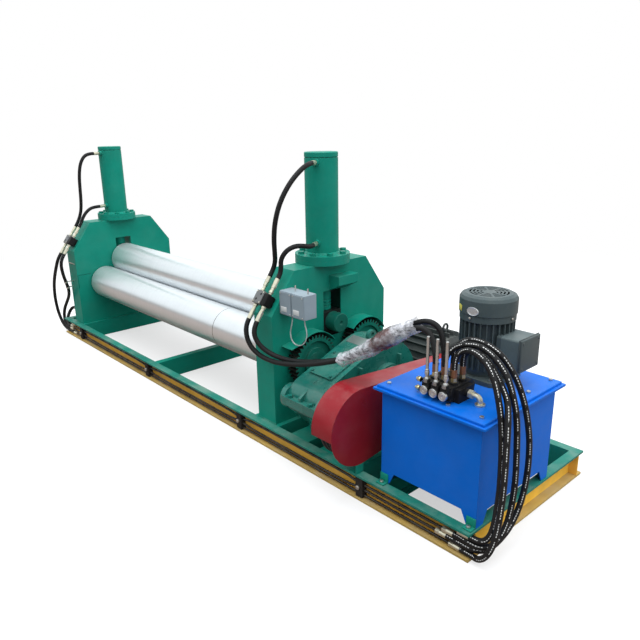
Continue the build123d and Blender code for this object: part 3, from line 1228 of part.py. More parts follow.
def hydraulic_pump():
    """Gear pump hung under the lid on a bell, with its suction pipe."""
    seat, wide = PUMP_SHAFT + RUN_FIT, PUMP_SHAFT + BELL_WALL
    bell, case = LID_BOTTOM - BELL_DROP, LID_BOTTOM - BELL_DROP - GEARCASE_HEIGHT
    profile = [(LID_BOTTOM, wide), (LID_BOTTOM, BELL_FLANGE), (LID_BOTTOM - BELL_FLANGE_THICK, BELL_FLANGE)]
    profile += [(LID_BOTTOM - BELL_SHOULDER[0], BELL_SHOULDER[1]), (bell, BELL_FOOT), (bell, seat)]
    profile += [(bell + BELL_SEAT, seat), (bell + BELL_SEAT, wide)]
    body = turned(profile, "Z", PUMP_X, PUMP_Y)
    case_x = (PUMP_X - GEARCASE_HALF, PUMP_X + GEARCASE_HALF)
    gearcase = block(case_x, (PUMP_Y + GEARCASE_Y[0], PUMP_Y + GEARCASE_Y[1]), (case, bell))
    gearcase = fillet(gearcase.edges().filter_by(Axis.Z), GEARCASE_CORNER)
    gearcase -= rod((PUMP_X, PUMP_Y, bell - BELL_SEAT), (PUMP_X, PUMP_Y, bell), seat)
    y = PUMP_Y + SUCTION_BACK
    suction = rod((PUMP_X, y, TANK_FLOOR + SUCTION_RISE), (PUMP_X, y, case), SUCTION_RADIUS)
    low, high = TANK_FLOOR + STRAINER_Z[0], TANK_FLOOR + STRAINER_Z[1]
    strainer = rod((PUMP_X, y, low), (PUMP_X, y, high), STRAINER_RADIUS)
    return body + gearcase + suction + strainer


def valve_places():
    """X of the three valve sections."""
    return [VALVE_X + VALVE_PITCH * step for step in (-1, 0, 1)]


def valve_body():
    """Three-section hand valve with end plates, spool caps, lever seats and port bosses."""
    half = VALVE_PITCH / 2 - SECTION_JOINT
    middle = (VALVE_Y0 + VALVE_Y1) / 2
    first, last = valve_places()[0] - VALVE_PITCH / 2, valve_places()[-1] + VALVE_PITCH / 2
    left, right = first - END_PLATE_LEFT, last + END_PLATE_RIGHT
    front, back, low, high = VALVE_Y0, VALVE_Y1, TANK_TOP + VALVE_EDGE, VALVE_TOP - VALVE_EDGE
    body = block((left, right), (front + END_PLATE_FRONT, back - END_PLATE_BACK), (TANK_TOP, high))
    outline = [(front, low), (front, high), (front + VALVE_EDGE, VALVE_TOP)]
    outline += [(back - VALVE_EDGE, VALVE_TOP), (back, high), (back, low)]
    for x in valve_places():
        body += prism(outline, "X", x - half, x + half)
        body += rod((x, front - CAP_REACH, SPOOL_Z), (x, front, SPOOL_Z), CAP_RADIUS)
        end_x, end_y = (x - SPOOL_END_HALF, x + SPOOL_END_HALF), (front - SPOOL_END, front + SPOOL_END_TUCK)
        body += block(end_x, end_y, (SPOOL_Z, VALVE_TOP))
        body += rod((x, LEVER_Y, VALVE_TOP), (x, LEVER_Y, LEVER_Z), LEVER_SEAT)
        body -= Pos(x, LEVER_Y, LEVER_Z) * Sphere(LEVER_BALL + SLIDE_GAP)
        body += lever_pin(x, LEVER_PIN)
        for y in (PORT_A_Y, PORT_B_Y):
            body += rod((x, y, VALVE_TOP), (x, y, VALVE_TOP + PORT_BOSS_HEIGHT), VALVE_PORT_BOSS)
        body += rod((x, back, SPOOL_Z), (x, back + REAR_CAP_REACH, SPOOL_Z), REAR_CAP_RADIUS)
    body += rod((left - END_BOSS_LEFT, middle, SPOOL_Z), (left, middle, SPOOL_Z), END_BOSS_RADIUS)
    body += rod((right, middle, SPOOL_Z), (right + END_BOSS_RIGHT, middle, SPOOL_Z), END_BOSS_RADIUS)
    return body


def lever_pin(x, radius):
    """Pin across a lever seat, on which the lever tilts."""
    return rod((x - LEVER_SEAT, LEVER_Y, LEVER_Z), (x + LEVER_SEAT, LEVER_Y, LEVER_Z), radius)


def lever(x):
    """Hand lever: ball in the seat, slim stem and a thicker grip."""
    ball = LEVER_Z
    top = ball + LEVER_LENGTH
    grip = top - LEVER_GRIP
    thick = LEVER_RADIUS + LEVER_GRIP_SWELL
    profile = [(ball, 0), (ball, LEVER_RADIUS), (grip, LEVER_RADIUS), (grip + LEVER_RADIUS, thick)]
    profile += [(top - LEVER_RADIUS, thick), (top, LEVER_RADIUS), (top, 0)]
    body = turned(profile, "Z", x, LEVER_Y) + Pos(x, LEVER_Y, ball) * Sphere(LEVER_BALL)
    return body - lever_pin(x, LEVER_PIN + RUN_FIT)


def return_pipe():
    """Bent return pipe from the valve's right end into the lid."""
    x0 = valve_places()[-1] + VALVE_PITCH / 2 + END_PLATE_RIGHT + END_BOSS_RIGHT
    y = (VALVE_Y0 + VALVE_Y1) / 2
    start, foot = x0 + PIPE_NUT, x0 + PIPE_REACH
    path = FilletPolyline((start, y, SPOOL_Z), (foot, y, SPOOL_Z), (foot, y, TANK_TOP), radius=PIPE_BEND)
    pipe = sweep(Plane(origin=(start, y, SPOOL_Z), z_dir=(1, 0, 0)) * Circle(PIPE_RADIUS), path)
    collar = rod((foot, y, TANK_TOP), (foot, y, TANK_TOP + PIPE_COLLAR_HEIGHT), PIPE_COLLAR)
    return pipe + collar + hex_bar((x0, y, SPOOL_Z), (start, y, SPOOL_Z), PIPE_NUT_FLATS)


def shoulder_plane(x, slide):
    """Plane on the front shoulder of a stand: local x along X, local y up the slope."""
    down = (-SHOULDER_RUN / SHOULDER_LENGTH, -SHOULDER_RISE / SHOULDER_LENGTH)
    y = -(STAND_TOP_HALF + STAND_HALF) / 2 + down[0] * slide
    z = (STAND_TOP + SHOULDER_Z) / 2 + down[1] * slide
    return Plane(
        origin=(x, y, z),
        x_dir=(1, 0, 0),
        z_dir=(0, -SHOULDER_RISE / SHOULDER_LENGTH, SHOULDER_RUN / SHOULDER_LENGTH),
    )


def lock_valve(x):
    """Lock valve block on the front shoulder of a stand: port block and check housing."""
    split = LOCK_WIDTH * LOCK_SPLIT
    half, long = LOCK_WIDTH / 2, LOCK_LENGTH / 2
    centre = LOCK_PLATE + LOCK_THICK / 2
    plate = Box(LOCK_WIDTH + LOCK_PLATE_OVER, LOCK_LENGTH - LOCK_PLATE_UNDER, LOCK_PLATE)
    left = Pos((split - half) / 2, 0, centre) * Box(half + split, LOCK_LENGTH, LOCK_THICK)
    left = chamfer(left.edges(), LOCK_CHAMFER)
    right = Box(half - split + LOCK_LAP, LOCK_LENGTH - LOCK_CHECK_SHORT, LOCK_THICK - LOCK_CHECK_THIN)
    right = Pos((split + half) / 2, -LOCK_CHECK_DROP, centre - LOCK_CHECK_THIN / 2) * right
    body = Pos(0, 0, LOCK_PLATE / 2) * plate + left + right
    middle = long + (LOCK_STUB_REACH - LOCK_STUB_ROOT) / 2
    for step in (-1, 1):
        for end in (-1, 1):
            stub = Rot(90, 0, 0) * Cylinder(LOCK_STUB, LOCK_STUB_REACH + LOCK_STUB_ROOT)
            body += Pos(step * LOCK_PORT, end * middle, centre) * stub
    return shoulder_plane(x, LOCK_SLIDE) * body


def lock_port(x, step, end):
    """Centre of a lock valve port and the direction in which its hose leaves."""
    plane = shoulder_plane(x, LOCK_SLIDE)
    reach = LOCK_LENGTH / 2 + LOCK_STUB_REACH
    place = (step * LOCK_PORT, end * reach, LOCK_PLATE + LOCK_THICK / 2)
    return plane.from_local_coords(place), plane.y_dir * end


def hose_end(start, out):
    """Swivel nut and pressed ferrule from a port, and the point where the hose leaves it."""
    start, out = Vector(*start), Vector(*out).normalized()
    nut_end = start + out * NUT_LENGTH
    far = start + out * FERRULE_LENGTH
    nut = hex_bar(tuple(start), tuple(nut_end), NUT_FLATS)
    return nut + rod(tuple(nut_end), tuple(far), FERRULE_RADIUS), far


def cylinder_port(x, port_turn, z):
    """Port face of a press cylinder and the direction in which its hose leaves."""
    start = port_point(x, port_turn, z, BARREL_RADIUS + PORT_REACH)
    out = Vector(*start) - Vector(x, 0, z)
    return start, tuple(out.normalized())


def port_list():
    """Every place where a hose is screwed on: name, start point and direction."""
    ports = {}
    sides = [("drive", DRIVE_STAND_X, DRIVE_PORT_TURN), ("idle", IDLE_STAND_X, IDLE_PORT_TURN)]
    for name, x, turn in sides:
        ports[name + "_top"] = cylinder_port(x, turn, TOP_PORT_Z)
        ports[name + "_low"] = cylinder_port(x, turn, LOW_PORT_Z)
        for label, step in (("1", -1), ("2", 1)):
            ports[name + "_lock_up_" + label] = lock_port(x, step, 1)
            ports[name + "_lock_down_" + label] = lock_port(x, step, -1)
    for index, x in enumerate(valve_places()):
        ports[f"valve_{index + 1}_a"] = ((x, PORT_A_Y, VALVE_TOP + PORT_BOSS_HEIGHT), (0, 0, 1))
        ports[f"valve_{index + 1}_b"] = ((x, PORT_B_Y, VALVE_TOP + PORT_BOSS_HEIGHT), (0, 0, 1))
    for index in range(4):
        ports[f"line_{index + 1}_left"] = ((LINE_LEFT[index], LINE_Y, LINE_Z[index]), (-1, 0, 0))
        ports[f"line_{index + 1}_right"] = ((LINE_RIGHT[index], LINE_Y, LINE_Z[index]), (1, 0, 0))
    ports["union"] = ((IDLE_X0 - UNION_THICK, UNION_Y, UNION_Z), (-1, 0, 0))
    return ports


def hose_fittings(ports):
    """Swivel nuts and ferrules of all hoses, the return pipe, and the union of the fourth line."""
    solids = []
    for name in ports:
        solids.append(hose_end(*ports[name])[0])
    union_y = (UNION_Y - UNION_HALF, UNION_Y + UNION_HALF)
    union_z = (UNION_Z - UNION_HALF, UNION_Z + UNION_HALF)
    solids.append(block((IDLE_X0 - UNION_THICK, IDLE_X0), union_y, union_z))
    solids.append(return_pipe())
    return solids


def steel_lines():
    """Four steel pipes along the front rail."""
    lines = []
    for index in range(4):
        start = (LINE_LEFT[index], LINE_Y, LINE_Z[index])
        lines.append(rod(start, (LINE_RIGHT[index], LINE_Y, LINE_Z[index]), LINE_RADIUS))
    return lines


def line_clamp(x):
    """Clamp block bolted to the web of the front rail round the four pipes."""
    half = CLAMP_WIDTH / 2
    back = -WEB_BACK - RAIL_WEB
    front = LINE_Y - LINE_RADIUS - CLAMP_COVER
    low, high = FLANGE_THICK + CLAMP_GAP, RAIL_HEIGHT - FLANGE_THICK - CLAMP_GAP
    body = block((x - half, x + half), (front, back), (low, high))
    body = chamfer(body.faces().sort_by(Axis.Y)[0].edges(), CLAMP_CHAMFER)
    for z in LINE_Z:
        body -= rod((x - half, LINE_Y, z), (x + half, LINE_Y, z), LINE_RADIUS + SEAT_GAP)
    middle = (LINE_Z[1] + LINE_Z[2]) / 2
    return body + hex_bar((x, front, middle), (x, front - CLAMP_BOLT, middle), CLAMP_BOLT_FLATS)


def switch_box(x0):
    """Small switch box with a pin on top and a cable gland below."""
    y1 = SWITCH_Y0 + SWITCH_DEPTH
    top = SWITCH_Z0 + SWITCH_HEIGHT
    body = block((x0, x0 + SWITCH_WIDTH), (SWITCH_Y0, y1), (SWITCH_Z0, top))
    body = fillet(body.edges().filter_by(Axis.Z), SWITCH_CORNER)
    lid_x = (x0 + SWITCH_LID, x0 + SWITCH_WIDTH - SWITCH_LID)
    body += block(lid_x, (SWITCH_Y0 - SWITCH_LID, SWITCH_Y0), (SWITCH_Z0 + SWITCH_LID, top - SWITCH_LID))
    x, y = x0 + SWITCH_WIDTH - SWITCH_PIN_SET, SWITCH_Y0 + SWITCH_DEPTH / 2
    body += rod((x, y, top), (x, y, top + SWITCH_PIN), SWITCH_PIN_RADIUS)
    gland = x0 + SWITCH_WIDTH / 2
    return body + rod((gland, y, SWITCH_Z0 - GLAND_LENGTH), (gland, y, SWITCH_Z0), GLAND_RADIUS)


def bolt_head(x, y, z, flats, height):
    """Hexagon head with its axis upright."""
    return hex_bar((x, y, z), (x, y, z + height), flats)


def hex_bolts():
    """Heads of the cylinder, reducer, motor, lid and pump flange bolts."""
    heads = []
    for x in (IDLE_STAND_X, DRIVE_STAND_X):
        for index in range(FLANGE_BOLTS):
            turn = 2 * math.pi * (index + 0.5) / FLANGE_BOLTS
            place = (x + BOLT_RING * math.cos(turn), BOLT_RING * math.sin(turn), CYLINDER_BASE)
            heads.append(bolt_head(*place, CYLINDER_BOLT_FLATS, CYLINDER_BOLT_HEIGHT))
    top = PINION_Z + REDUCER_FLANGE
    edge = REDUCER_LIP / 2
    front, rear = NOSE_Y - NOSE_RADIUS - edge, CROWN_Y + CROWN_RADIUS + edge
    inset = REDUCER_LIP + NOSE_BOLT_INSET
    places = [(x, y) for x in (REDUCER_X0 + inset, REDUCER_X1 - inset) for y in (front, rear)]
    places += [(x, y) for x in (REDUCER_X0 + edge, REDUCER_X1 - edge) for y in SIDE_BOLT_Y]
    for x, y in places:
        heads.append(bolt_head(x, y, top, FLANGE_BOLT_FLATS, FLANGE_BOLT_HEIGHT))
    left, right, near, far = LID_BOLT_INSETS
    x0, x1 = TANK_X0 - RIM + LID_INSET + left, TANK_X1 + RIM - LID_INSET - right
    y0, y1 = TANK_Y0 - RIM + LID_INSET + near, TANK_Y1 + RIM - LID_INSET - far
    mid_x, mid_y = (x0 + x1) / 2 + LID_BOLT_SHIFT, (y0 + y1) / 2 + LID_BOLT_SHIFT
    for x in (x0, mid_x, x1):
        for y in (y0, mid_y, y1):
            if (x, y) != (mid_x, mid_y):
                heads.append(bolt_head(x, y, TANK_TOP, LID_BOLT_FLATS, LID_BOLT_HEIGHT))
    reach, seat = PUMP_FLANGE / 2 - PUMP_BOLT_INSET, TANK_TOP + PUMP_FLANGE_THICK
    for x in (PUMP_X - reach, PUMP_X + reach):
        for y in (PUMP_Y - reach, PUMP_Y + reach):
            heads.append(bolt_head(x, y, seat, PUMP_BOLT_FLATS, PUMP_BOLT_HEIGHT))
    seat = BENCH_TOP + MOTOR_FOOT_THICK
    for x in (MOTOR_X0 + MOTOR_BOLT_INSETS[0], MOTOR_X1 - MOTOR_BOLT_INSETS[1]):
        for y in (MOTOR_Y - MOTOR_BOLT_Y, MOTOR_Y + MOTOR_BOLT_Y):
            heads.append(bolt_head(x, y, seat, MOTOR_BOLT_FLATS, MOTOR_BOLT_HEIGHT))
    return heads


def hose_routes(ports):
    """Points of every hose: ferrule, straight exit, free points, straight exit, ferrule."""
    routes = {
        "hose_drive_top": ("drive_top", 34, DRIVE_TOP_POINTS, 34, "drive_lock_up_1"),
        "hose_drive_low": ("drive_low", 34, DRIVE_LOW_POINTS, 24, "drive_lock_up_2"),
        "hose_idle_top": ("idle_top", 32, IDLE_TOP_POINTS, 34, "idle_lock_up_1"),
        "hose_idle_low": ("idle_low", 34, IDLE_LOW_POINTS, 28, "idle_lock_up_2"),
        "hose_valve_outer": ("valve_1_a", 26, VALVE_OUTER_POINTS, 36, "drive_lock_down_1"),
        "hose_valve_inner": ("valve_1_b", 24, VALVE_INNER_POINTS, 36, "drive_lock_down_2"),
        "hose_loop_1": ("valve_3_a", 20, LOOP_1_POINTS, 30, "line_4_right"),
        "hose_loop_2": ("valve_3_b", 20, LOOP_2_POINTS, 40, "line_1_right"),
        "hose_loop_3": ("valve_2_a", 24, LOOP_3_POINTS, 28, "line_3_right"),
        "hose_loop_4": ("valve_2_b", 30, LOOP_4_POINTS, 44, "line_2_right"),
        "hose_idle_outer": ("idle_lock_down_1", 36, IDLE_OUTER_POINTS, 54, "line_1_left"),
        "hose_idle_inner": ("idle_lock_down_2", 36, IDLE_INNER_POINTS, 38, "line_2_left"),
        "hose_union": ("union", 32, UNION_POINTS, 34, "line_3_left"),
    }
    paths = {}
    for name, (first, first_exit, points, last_exit, last) in routes.items():
        start, start_out = hose_end(*ports[first])[1], Vector(*ports[first][1])
        end, end_out = hose_end(*ports[last])[1], Vector(*ports[last][1])
        leave, arrive = start + start_out * first_exit, end + end_out * last_exit
        paths[name] = [tuple(start), tuple(leave), *points, tuple(arrive), tuple(end)]
    return paths


def wire_route():
    """Points of the wire that hangs between the two switch boxes."""
    y, z = SWITCH_Y0 + SWITCH_DEPTH / 2, SWITCH_Z0 - GLAND_LENGTH
    x0, x1 = DRIVE_X1 + SWITCH_WIDTH / 2, DRIVE_X1 + SWITCH_WIDTH * 1.5
    return [(x0, y, z), (x0, y, z - WIRE_EXIT), *WIRE_POINTS, (x1, y, z - WIRE_EXIT), (x1, y, z)]


def tube(points, radius, name):
    """Tube along straight runs joined by arcs as large as the runs allow."""
    vectors = [Vector(*point) for point in points]
    radii = []
    for before, here, after in zip(vectors, vectors[1:], vectors[2:]):
        turn = math.radians((here - before).get_angle(after - here))
        shorter = min((here - before).length, (after - here).length)
        radii.append(0.45 * shorter / math.tan(turn / 2))
    path = FilletPolyline(*vectors, radius=radii)
    start = Plane(origin=vectors[0], z_dir=vectors[1] - vectors[0])
    body = sweep(start * Circle(radius), path)
    ratio = body.volume / (math.pi * radius**2 * path.length)
    rounded = [round(value) for value in radii]
    print(name, "length", round(path.length), "radii", rounded, "volume ratio", round(ratio, 4))
    return body


def build():
    """Make every piece under its own name."""
    pinion_phase, front_phase, rear_phase = gear_phases()
    ports = port_list()
    pieces = {
        "base_front_rail": channel_x(-1),
        "base_rear_rail": channel_x(1),
        "base_left_end": channel_y(-END_X + RAIL_FLANGE, -1),
        "base_right_end": channel_y(END_X - RAIL_FLANGE, 1),
        "base_cross_members": Compound(cross_members()),
        "motor_bench": motor_bench(),
        "idle_stand": stand(IDLE_X0),
        "drive_stand": stand(DRIVE_X0) + stop_bracket(),
        "idle_press_cylinder": press_cylinder(IDLE_STAND_X, IDLE_PORT_TURN),
        "drive_press_cylinder": press_cylinder(DRIVE_STAND_X, DRIVE_PORT_TURN),
        "piston_rods": Compound([piston_rod(IDLE_STAND_X), piston_rod(DRIVE_STAND_X)]),
        "upper_roll_chocks": Compound([chock(IDLE_X0), chock(DRIVE_X0)]),
        "lower_roll_bushes": Compound(
            [lower_bush(x, y) for x in (IDLE_X0, DRIVE_X0) for y in (-LOWER_Y, LOWER_Y)]
        ),
        "upper_roll": upper_roll(),
        "front_lower_roll": lower_roll(-LOWER_Y) - scribe_ring(-LOWER_Y),
        "rear_lower_roll": lower_roll(LOWER_Y),
        "front_roll_gear": roll_gear(-LOWER_Y, front_phase),
        "rear_roll_gear": roll_gear(LOWER_Y, rear_phase),
        "drive_pinion": drive_pinion(pinion_phase),
        "front_gear_guard": gear_guard(-LOWER_Y, *FRONT_GUARD_ARC, FRONT_GUARD_FLARE),
        "rear_gear_guard": gear_guard(LOWER_Y, *REAR_GUARD_ARC, 0.0),
        "reducer_housing": reducer_housing(),
        "reducer_cover": reducer_cover(),
        "inspection_cover": inspection_cover(),
        "reducer_bearing_caps": Compound(bearing_caps()),
        "driven_pulley": driven_pulley(),
        "motor_pulley": motor_pulley(),
        "v_belts": Compound(v_belts()),
        "belt_guard": belt_guard(),
        "main_motor": main_motor_body() + motor_fan_cover(),
        "tank_body": tank_body(),
        "tank_lid": tank_lid(),
        "pump_motor_body": pump_motor_body(),
        "pump_motor_fan_cover": pump_motor_fan_cover(),
        "pump_rotor": pump_rotor(),
        "hydraulic_pump": hydraulic_pump(),
        "valve_body": valve_body(),
        "lock_valves": Compound([lock_valve(IDLE_STAND_X), lock_valve(DRIVE_STAND_X)]),
        "hose_fittings": Compound(hose_fittings(ports)),
        "steel_lines": Compound(steel_lines()),
        "line_clamps": Compound([line_clamp(x) for x in CLAMP_PLACES]),
        "switch_boxes": Compound([switch_box(DRIVE_X1 + SWITCH_WIDTH * i) for i in range(2)]),
        "hex_bolts": Compound(hex_bolts()),
    }
    for index, x in enumerate(valve_places()):
        pieces[f"lever_{index + 1}"] = lever(x)
    for name, points in hose_routes(ports).items():
        pieces[name] = tube(points, HOSE_RADIUS, name)
    pieces["switch_wire"] = tube(wire_route(), WIRE_RADIUS, "switch_wire")
    return pieces


def main():
    os.makedirs("parts", exist_ok=True)
    for name, piece in build().items():
        export_step(piece, f"parts/{name}.step")


main()
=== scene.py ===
import logging
import math
from dataclasses import dataclass
from enum import Enum
from functools import cache
from itertools import product
from typing import Optional, Sequence, Union

import bmesh
import bpy
from mathutils import Matrix, Vector, noise


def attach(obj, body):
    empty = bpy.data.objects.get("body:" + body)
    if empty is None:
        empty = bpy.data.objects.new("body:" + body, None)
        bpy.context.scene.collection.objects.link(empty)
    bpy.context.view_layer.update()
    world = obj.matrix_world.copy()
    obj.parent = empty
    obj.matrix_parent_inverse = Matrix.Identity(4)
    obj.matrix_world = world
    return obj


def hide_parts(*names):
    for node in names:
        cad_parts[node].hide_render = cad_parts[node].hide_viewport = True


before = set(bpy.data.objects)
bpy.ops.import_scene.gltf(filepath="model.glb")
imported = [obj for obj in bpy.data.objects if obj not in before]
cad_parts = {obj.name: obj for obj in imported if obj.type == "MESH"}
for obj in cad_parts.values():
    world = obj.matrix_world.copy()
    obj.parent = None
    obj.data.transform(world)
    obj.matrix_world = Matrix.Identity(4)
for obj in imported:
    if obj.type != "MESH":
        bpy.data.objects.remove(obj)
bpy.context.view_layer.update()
LOG = logging.getLogger("plate_rolling_machine")

Pair = tuple[float, float]
Point = tuple[float, float, float]
Plane = tuple[Point, float]
Socket = bpy.types.NodeSocket
Value = Union[Socket, float, int, tuple]
Piece = bpy.types.Object
Places = Sequence[Matrix]


class Facing(Enum):
    """Direction in which a small piece looks, or past which a painted zone lies."""

    LEFT = (-1.0, 0.0, 0.0)
    RIGHT = (1.0, 0.0, 0.0)
    FRONT = (0.0, -1.0, 0.0)
    BACK = (0.0, 1.0, 0.0)
    UP = (0.0, 0.0, 1.0)
    DOWN = (0.0, 0.0, -1.0)

    def past(self, reach: float) -> Plane:
        """Half space past a distance from the origin, measured in this direction."""
        return self.value, reach


class Lay(Enum):
    """How a cord lies between its ends."""

    HANGING = "hanging"
    LOOSE = "loose"


class Graph:
    """Short calls for laying out the nodes of one tree."""

    def __init__(self, tree: bpy.types.NodeTree) -> None:
        """Keeps the tree and empties it."""
        self.tree = tree
        tree.nodes.clear()

    def add(self, kind: str, values: Optional[dict] = None, **settings: object) -> bpy.types.Node:
        """Adds a node.

        Args:
            kind: Blender's name of the node type.
            values: sockets, by name or number, with a value or an output to link.
            settings: properties set before the sockets.

        Returns:
            The new node.
        """
        node = self.tree.nodes.new(kind)
        for name, setting in settings.items():
            setattr(node, name, setting)
        for key, value in (values or {}).items():
            socket = node.inputs[key]
            if isinstance(value, Socket):
                self.tree.links.new(value, socket)
            else:
                socket.default_value = (*value, 1.0) if socket.type == "RGBA" else value
        return node

    def coords(self) -> Socket:
        """Object coordinates, which are the frame's own."""
        return self.add("ShaderNodeTexCoord").outputs["Object"]

    def axis(self, vector: Socket, name: str) -> Socket:
        """Component X, Y or Z of a vector."""
        return self.add("ShaderNodeSeparateXYZ", {0: vector}).outputs[name]

    def math(self, operation: str, a: Value, b: Value = 0.0, c: Value = 0.0) -> Socket:
        """Result of a math node."""
        return self.add("ShaderNodeMath", {0: a, 1: b, 2: c}, operation=operation).outputs[0]

    def times(self, first: Value, *others: Value) -> Value:
        """Product of several numbers.

        Args:
            first: first number.
            others: numbers that it is multiplied by, in turn.

        Returns:
            The product.
        """
        for other in others:
            first = self.math("MULTIPLY", first, other)
        return first

    def vector(self, operation: str, a: Value, b: Value = (0.0, 0.0, 0.0), output: str = "Vector") -> Socket:
        """Wanted output of a vector math node."""
        return self.add("ShaderNodeVectorMath", {0: a, 1: b}, operation=operation).outputs[output]

    def mix(self, factor: Value, a: Value, b: Value) -> Socket:
        """Colour between two colours, by the share of the second."""
        return self.add("ShaderNodeMix", {0: factor, 6: a, 7: b}, data_type="RGBA").outputs[2]

    def blend(self, factor: Value, a: Value, b: Value) -> Socket:
        """Number between two numbers, by the share of the second."""
        return self.add("ShaderNodeMix", {0: factor, 2: a, 3: b}, data_type="FLOAT").outputs[0]

    def noise(self, vector: Socket, scale: float, detail: float = 3.0, rough: float = 0.55) -> Socket:
        """Cloudy pattern from 0 to 1, with a number of clouds per metre and of finer layers."""
        values = {"Vector": vector, "Scale": scale, "Detail": detail, "Roughness": rough}
        return self.add("ShaderNodeTexNoise", values).outputs[0]

    def rings(self, value: Socket, scale: float, detail: float = 2.0) -> Socket:
        """Cloudy pattern along one number."""
        values = {"W": value, "Scale": scale, "Detail": detail}
        return self.add("ShaderNodeTexNoise", values, noise_dimensions="1D").outputs[0]

    def spread(self, value: Value, low: float, high: float, first: Value = 0.0, last: Value = 1.0) -> Socket:
        """Number stretched from the range low to high to the range first to last, and held there."""
        values = {0: value, 1: low, 2: high, 3: first, 4: last}
        return self.add("ShaderNodeMapRange", values).outputs[0]

    def swing(self, pattern: Socket, first: Value, last: Value) -> Socket:
        """Cloudy pattern stretched from its usual range to another."""
        return self.spread(pattern, 0.3, 0.7, first, last)

    def bump(self, height: Socket, strength: float, depth: float, **normal: Socket) -> Socket:
        """Normal bent by a relief."""
        relief = {"Height": height, "Strength": strength, "Distance": depth}
        return self.add("ShaderNodeBump", relief | normal).outputs[0]

    def surface(self, values: dict[str, Value]) -> None:
        """Surface of a material, from the sockets of its shader."""
        shader = self.add("ShaderNodeBsdfPrincipled", values).outputs[0]
        self.add("ShaderNodeOutputMaterial", {"Surface": shader})


def start_material(name: str) -> tuple[bpy.types.Material, Graph]:
    """Starts a material.

    Args:
        name: name of the material.

    Returns:
        The material and the layout of its nodes.
    """
    made = bpy.data.materials.new(name)
    made.use_nodes = True
    return made, Graph(made.node_tree)


def start_group(name: str, inputs: dict[str, str], outputs: dict[str, str]) -> Graph:
    """Starts a shader node group.

    Args:
        name: name of the group.
        inputs: socket names with their kinds.
        outputs: socket names with their kinds.

    Returns:
        The layout of the group's nodes.
    """
    tree = bpy.data.node_groups.new(name, "ShaderNodeTree")
    for in_out, sockets in (("INPUT", inputs), ("OUTPUT", outputs)):
        for label, kind in sockets.items():
            tree.interface.new_socket(name=label, in_out=in_out, socket_type="NodeSocket" + kind)
    return Graph(tree)


DUST_TONE: Point = (0.42, 0.40, 0.35)
EDGE_RADIUS = 0.0022
BROAD_CLOUDS, PATCH_CLOUDS, DUST_CLOUDS, CHIP_CLOUDS, PEEL_CLOUDS = 2.4, 19.0, 8.0, 90.0, 240.0
TOOL_RINGS, RUB_RINGS, STAIN_CLOUDS = 1300.0, 46.0, 5.5
HOSE_CLOUDS = 60.0
WANDER_CLOUDS, CREASE_CLOUDS, FOLD_CLOUDS = 30.0, 70.0, 150.0


@cache
def coated_metal() -> bpy.types.NodeTree:
    """Group with the mottling, dust, chipped edges that also paint a highlight along the edges, and orange
    peel of coated metal.

    Returns:
        The group, built at its first use.
    """
    inputs = {"Colour": "Color", "Bare": "Color"}
    inputs |= {name: "Float" for name in ("Roughness", "Mottle", "Dust", "Wear")}
    outputs = {"Colour": "Color", "Roughness": "Float", "Height": "Float", "Normal": "Vector"}
    g = start_group("coated_metal", inputs, outputs)
    given = g.add("NodeGroupInput").outputs
    coords = g.coords()
    broad, patch = g.noise(coords, BROAD_CLOUDS, 5.0), g.noise(coords, PATCH_CLOUDS, 4.0)
    sway = g.math("ADD", g.swing(broad, -0.7, 0.7), g.swing(patch, -0.3, 0.3))
    value = g.math("ADD", 1.0, g.times(sway, given["Mottle"]))
    colour = g.add("ShaderNodeHueSaturation", {"Value": value, "Color": given["Colour"]}).outputs[0]
    normal = g.add("ShaderNodeNewGeometry").outputs["Normal"]
    upward = g.spread(g.axis(normal, "Z"), 0.2, 0.95, 0.25, 1.0)
    cloud = g.spread(g.noise(coords, DUST_CLOUDS, 9.0, 0.68), 0.44, 0.72)
    dust = g.times(cloud, upward, given["Dust"])
    colour = g.mix(dust, colour, DUST_TONE)
    # Edges are mixed towards the bare colour where the chips pattern allows: partly chipped paint, partly a
    # painted highlight along the edges.
    rounded = g.add("ShaderNodeBevel", {"Radius": EDGE_RADIUS}, samples=4).outputs[0]
    edge = g.spread(g.vector("DOT_PRODUCT", rounded, normal, "Value"), 0.995, 0.88)
    chips = g.spread(g.noise(coords, CHIP_CLOUDS, 4.0), 0.5, 0.6)
    colour = g.mix(g.times(edge, chips, given["Wear"]), colour, given["Bare"])
    rough = g.math("ADD", given["Roughness"], g.swing(patch, -0.07, 0.09))
    rough = g.math("ADD", rough, g.times(dust, 0.3))
    peel = g.math("ADD", g.noise(coords, PEEL_CLOUDS, 2.0), g.times(broad, 3.0))
    g.add("NodeGroupOutput", {"Colour": colour, "Roughness": rough, "Height": peel, "Normal": rounded})
    return g.tree


@cache
def turned_metal() -> bpy.types.NodeTree:
    """Group with the tool rings, rub marks and faint stains of a part turned about X.

    Returns:
        The group, built at its first use.
    """
    inputs = {"Colour": "Color", "Stain": "Color", "Roughness": "Float"}
    g = start_group("turned_metal", inputs, {"Colour": "Color", "Roughness": "Float", "Height": "Float"})
    given = g.add("NodeGroupInput").outputs
    coords = g.coords()
    along = g.axis(coords, "X")
    fine, broad = g.rings(along, TOOL_RINGS), g.rings(along, RUB_RINGS, 4.0)
    stain = g.spread(g.noise(coords, STAIN_CLOUDS, 8.0, 0.7), 0.5, 0.8)
    colour = g.mix(g.times(stain, 0.10), given["Colour"], given["Stain"])
    tone = g.math("ADD", g.swing(broad, 0.98, 1.01), g.swing(fine, -0.015, 0.015))
    colour = g.add("ShaderNodeHueSaturation", {"Value": tone, "Color": colour}).outputs[0]
    rough = g.math("ADD", given["Roughness"], g.swing(broad, -0.02, 0.03))
    rough = g.math("ADD", rough, g.times(stain, 0.04))
    height = g.math("ADD", fine, g.times(broad, 0.4))
    g.add("NodeGroupOutput", {"Colour": colour, "Roughness": rough, "Height": height})
    return g.tree


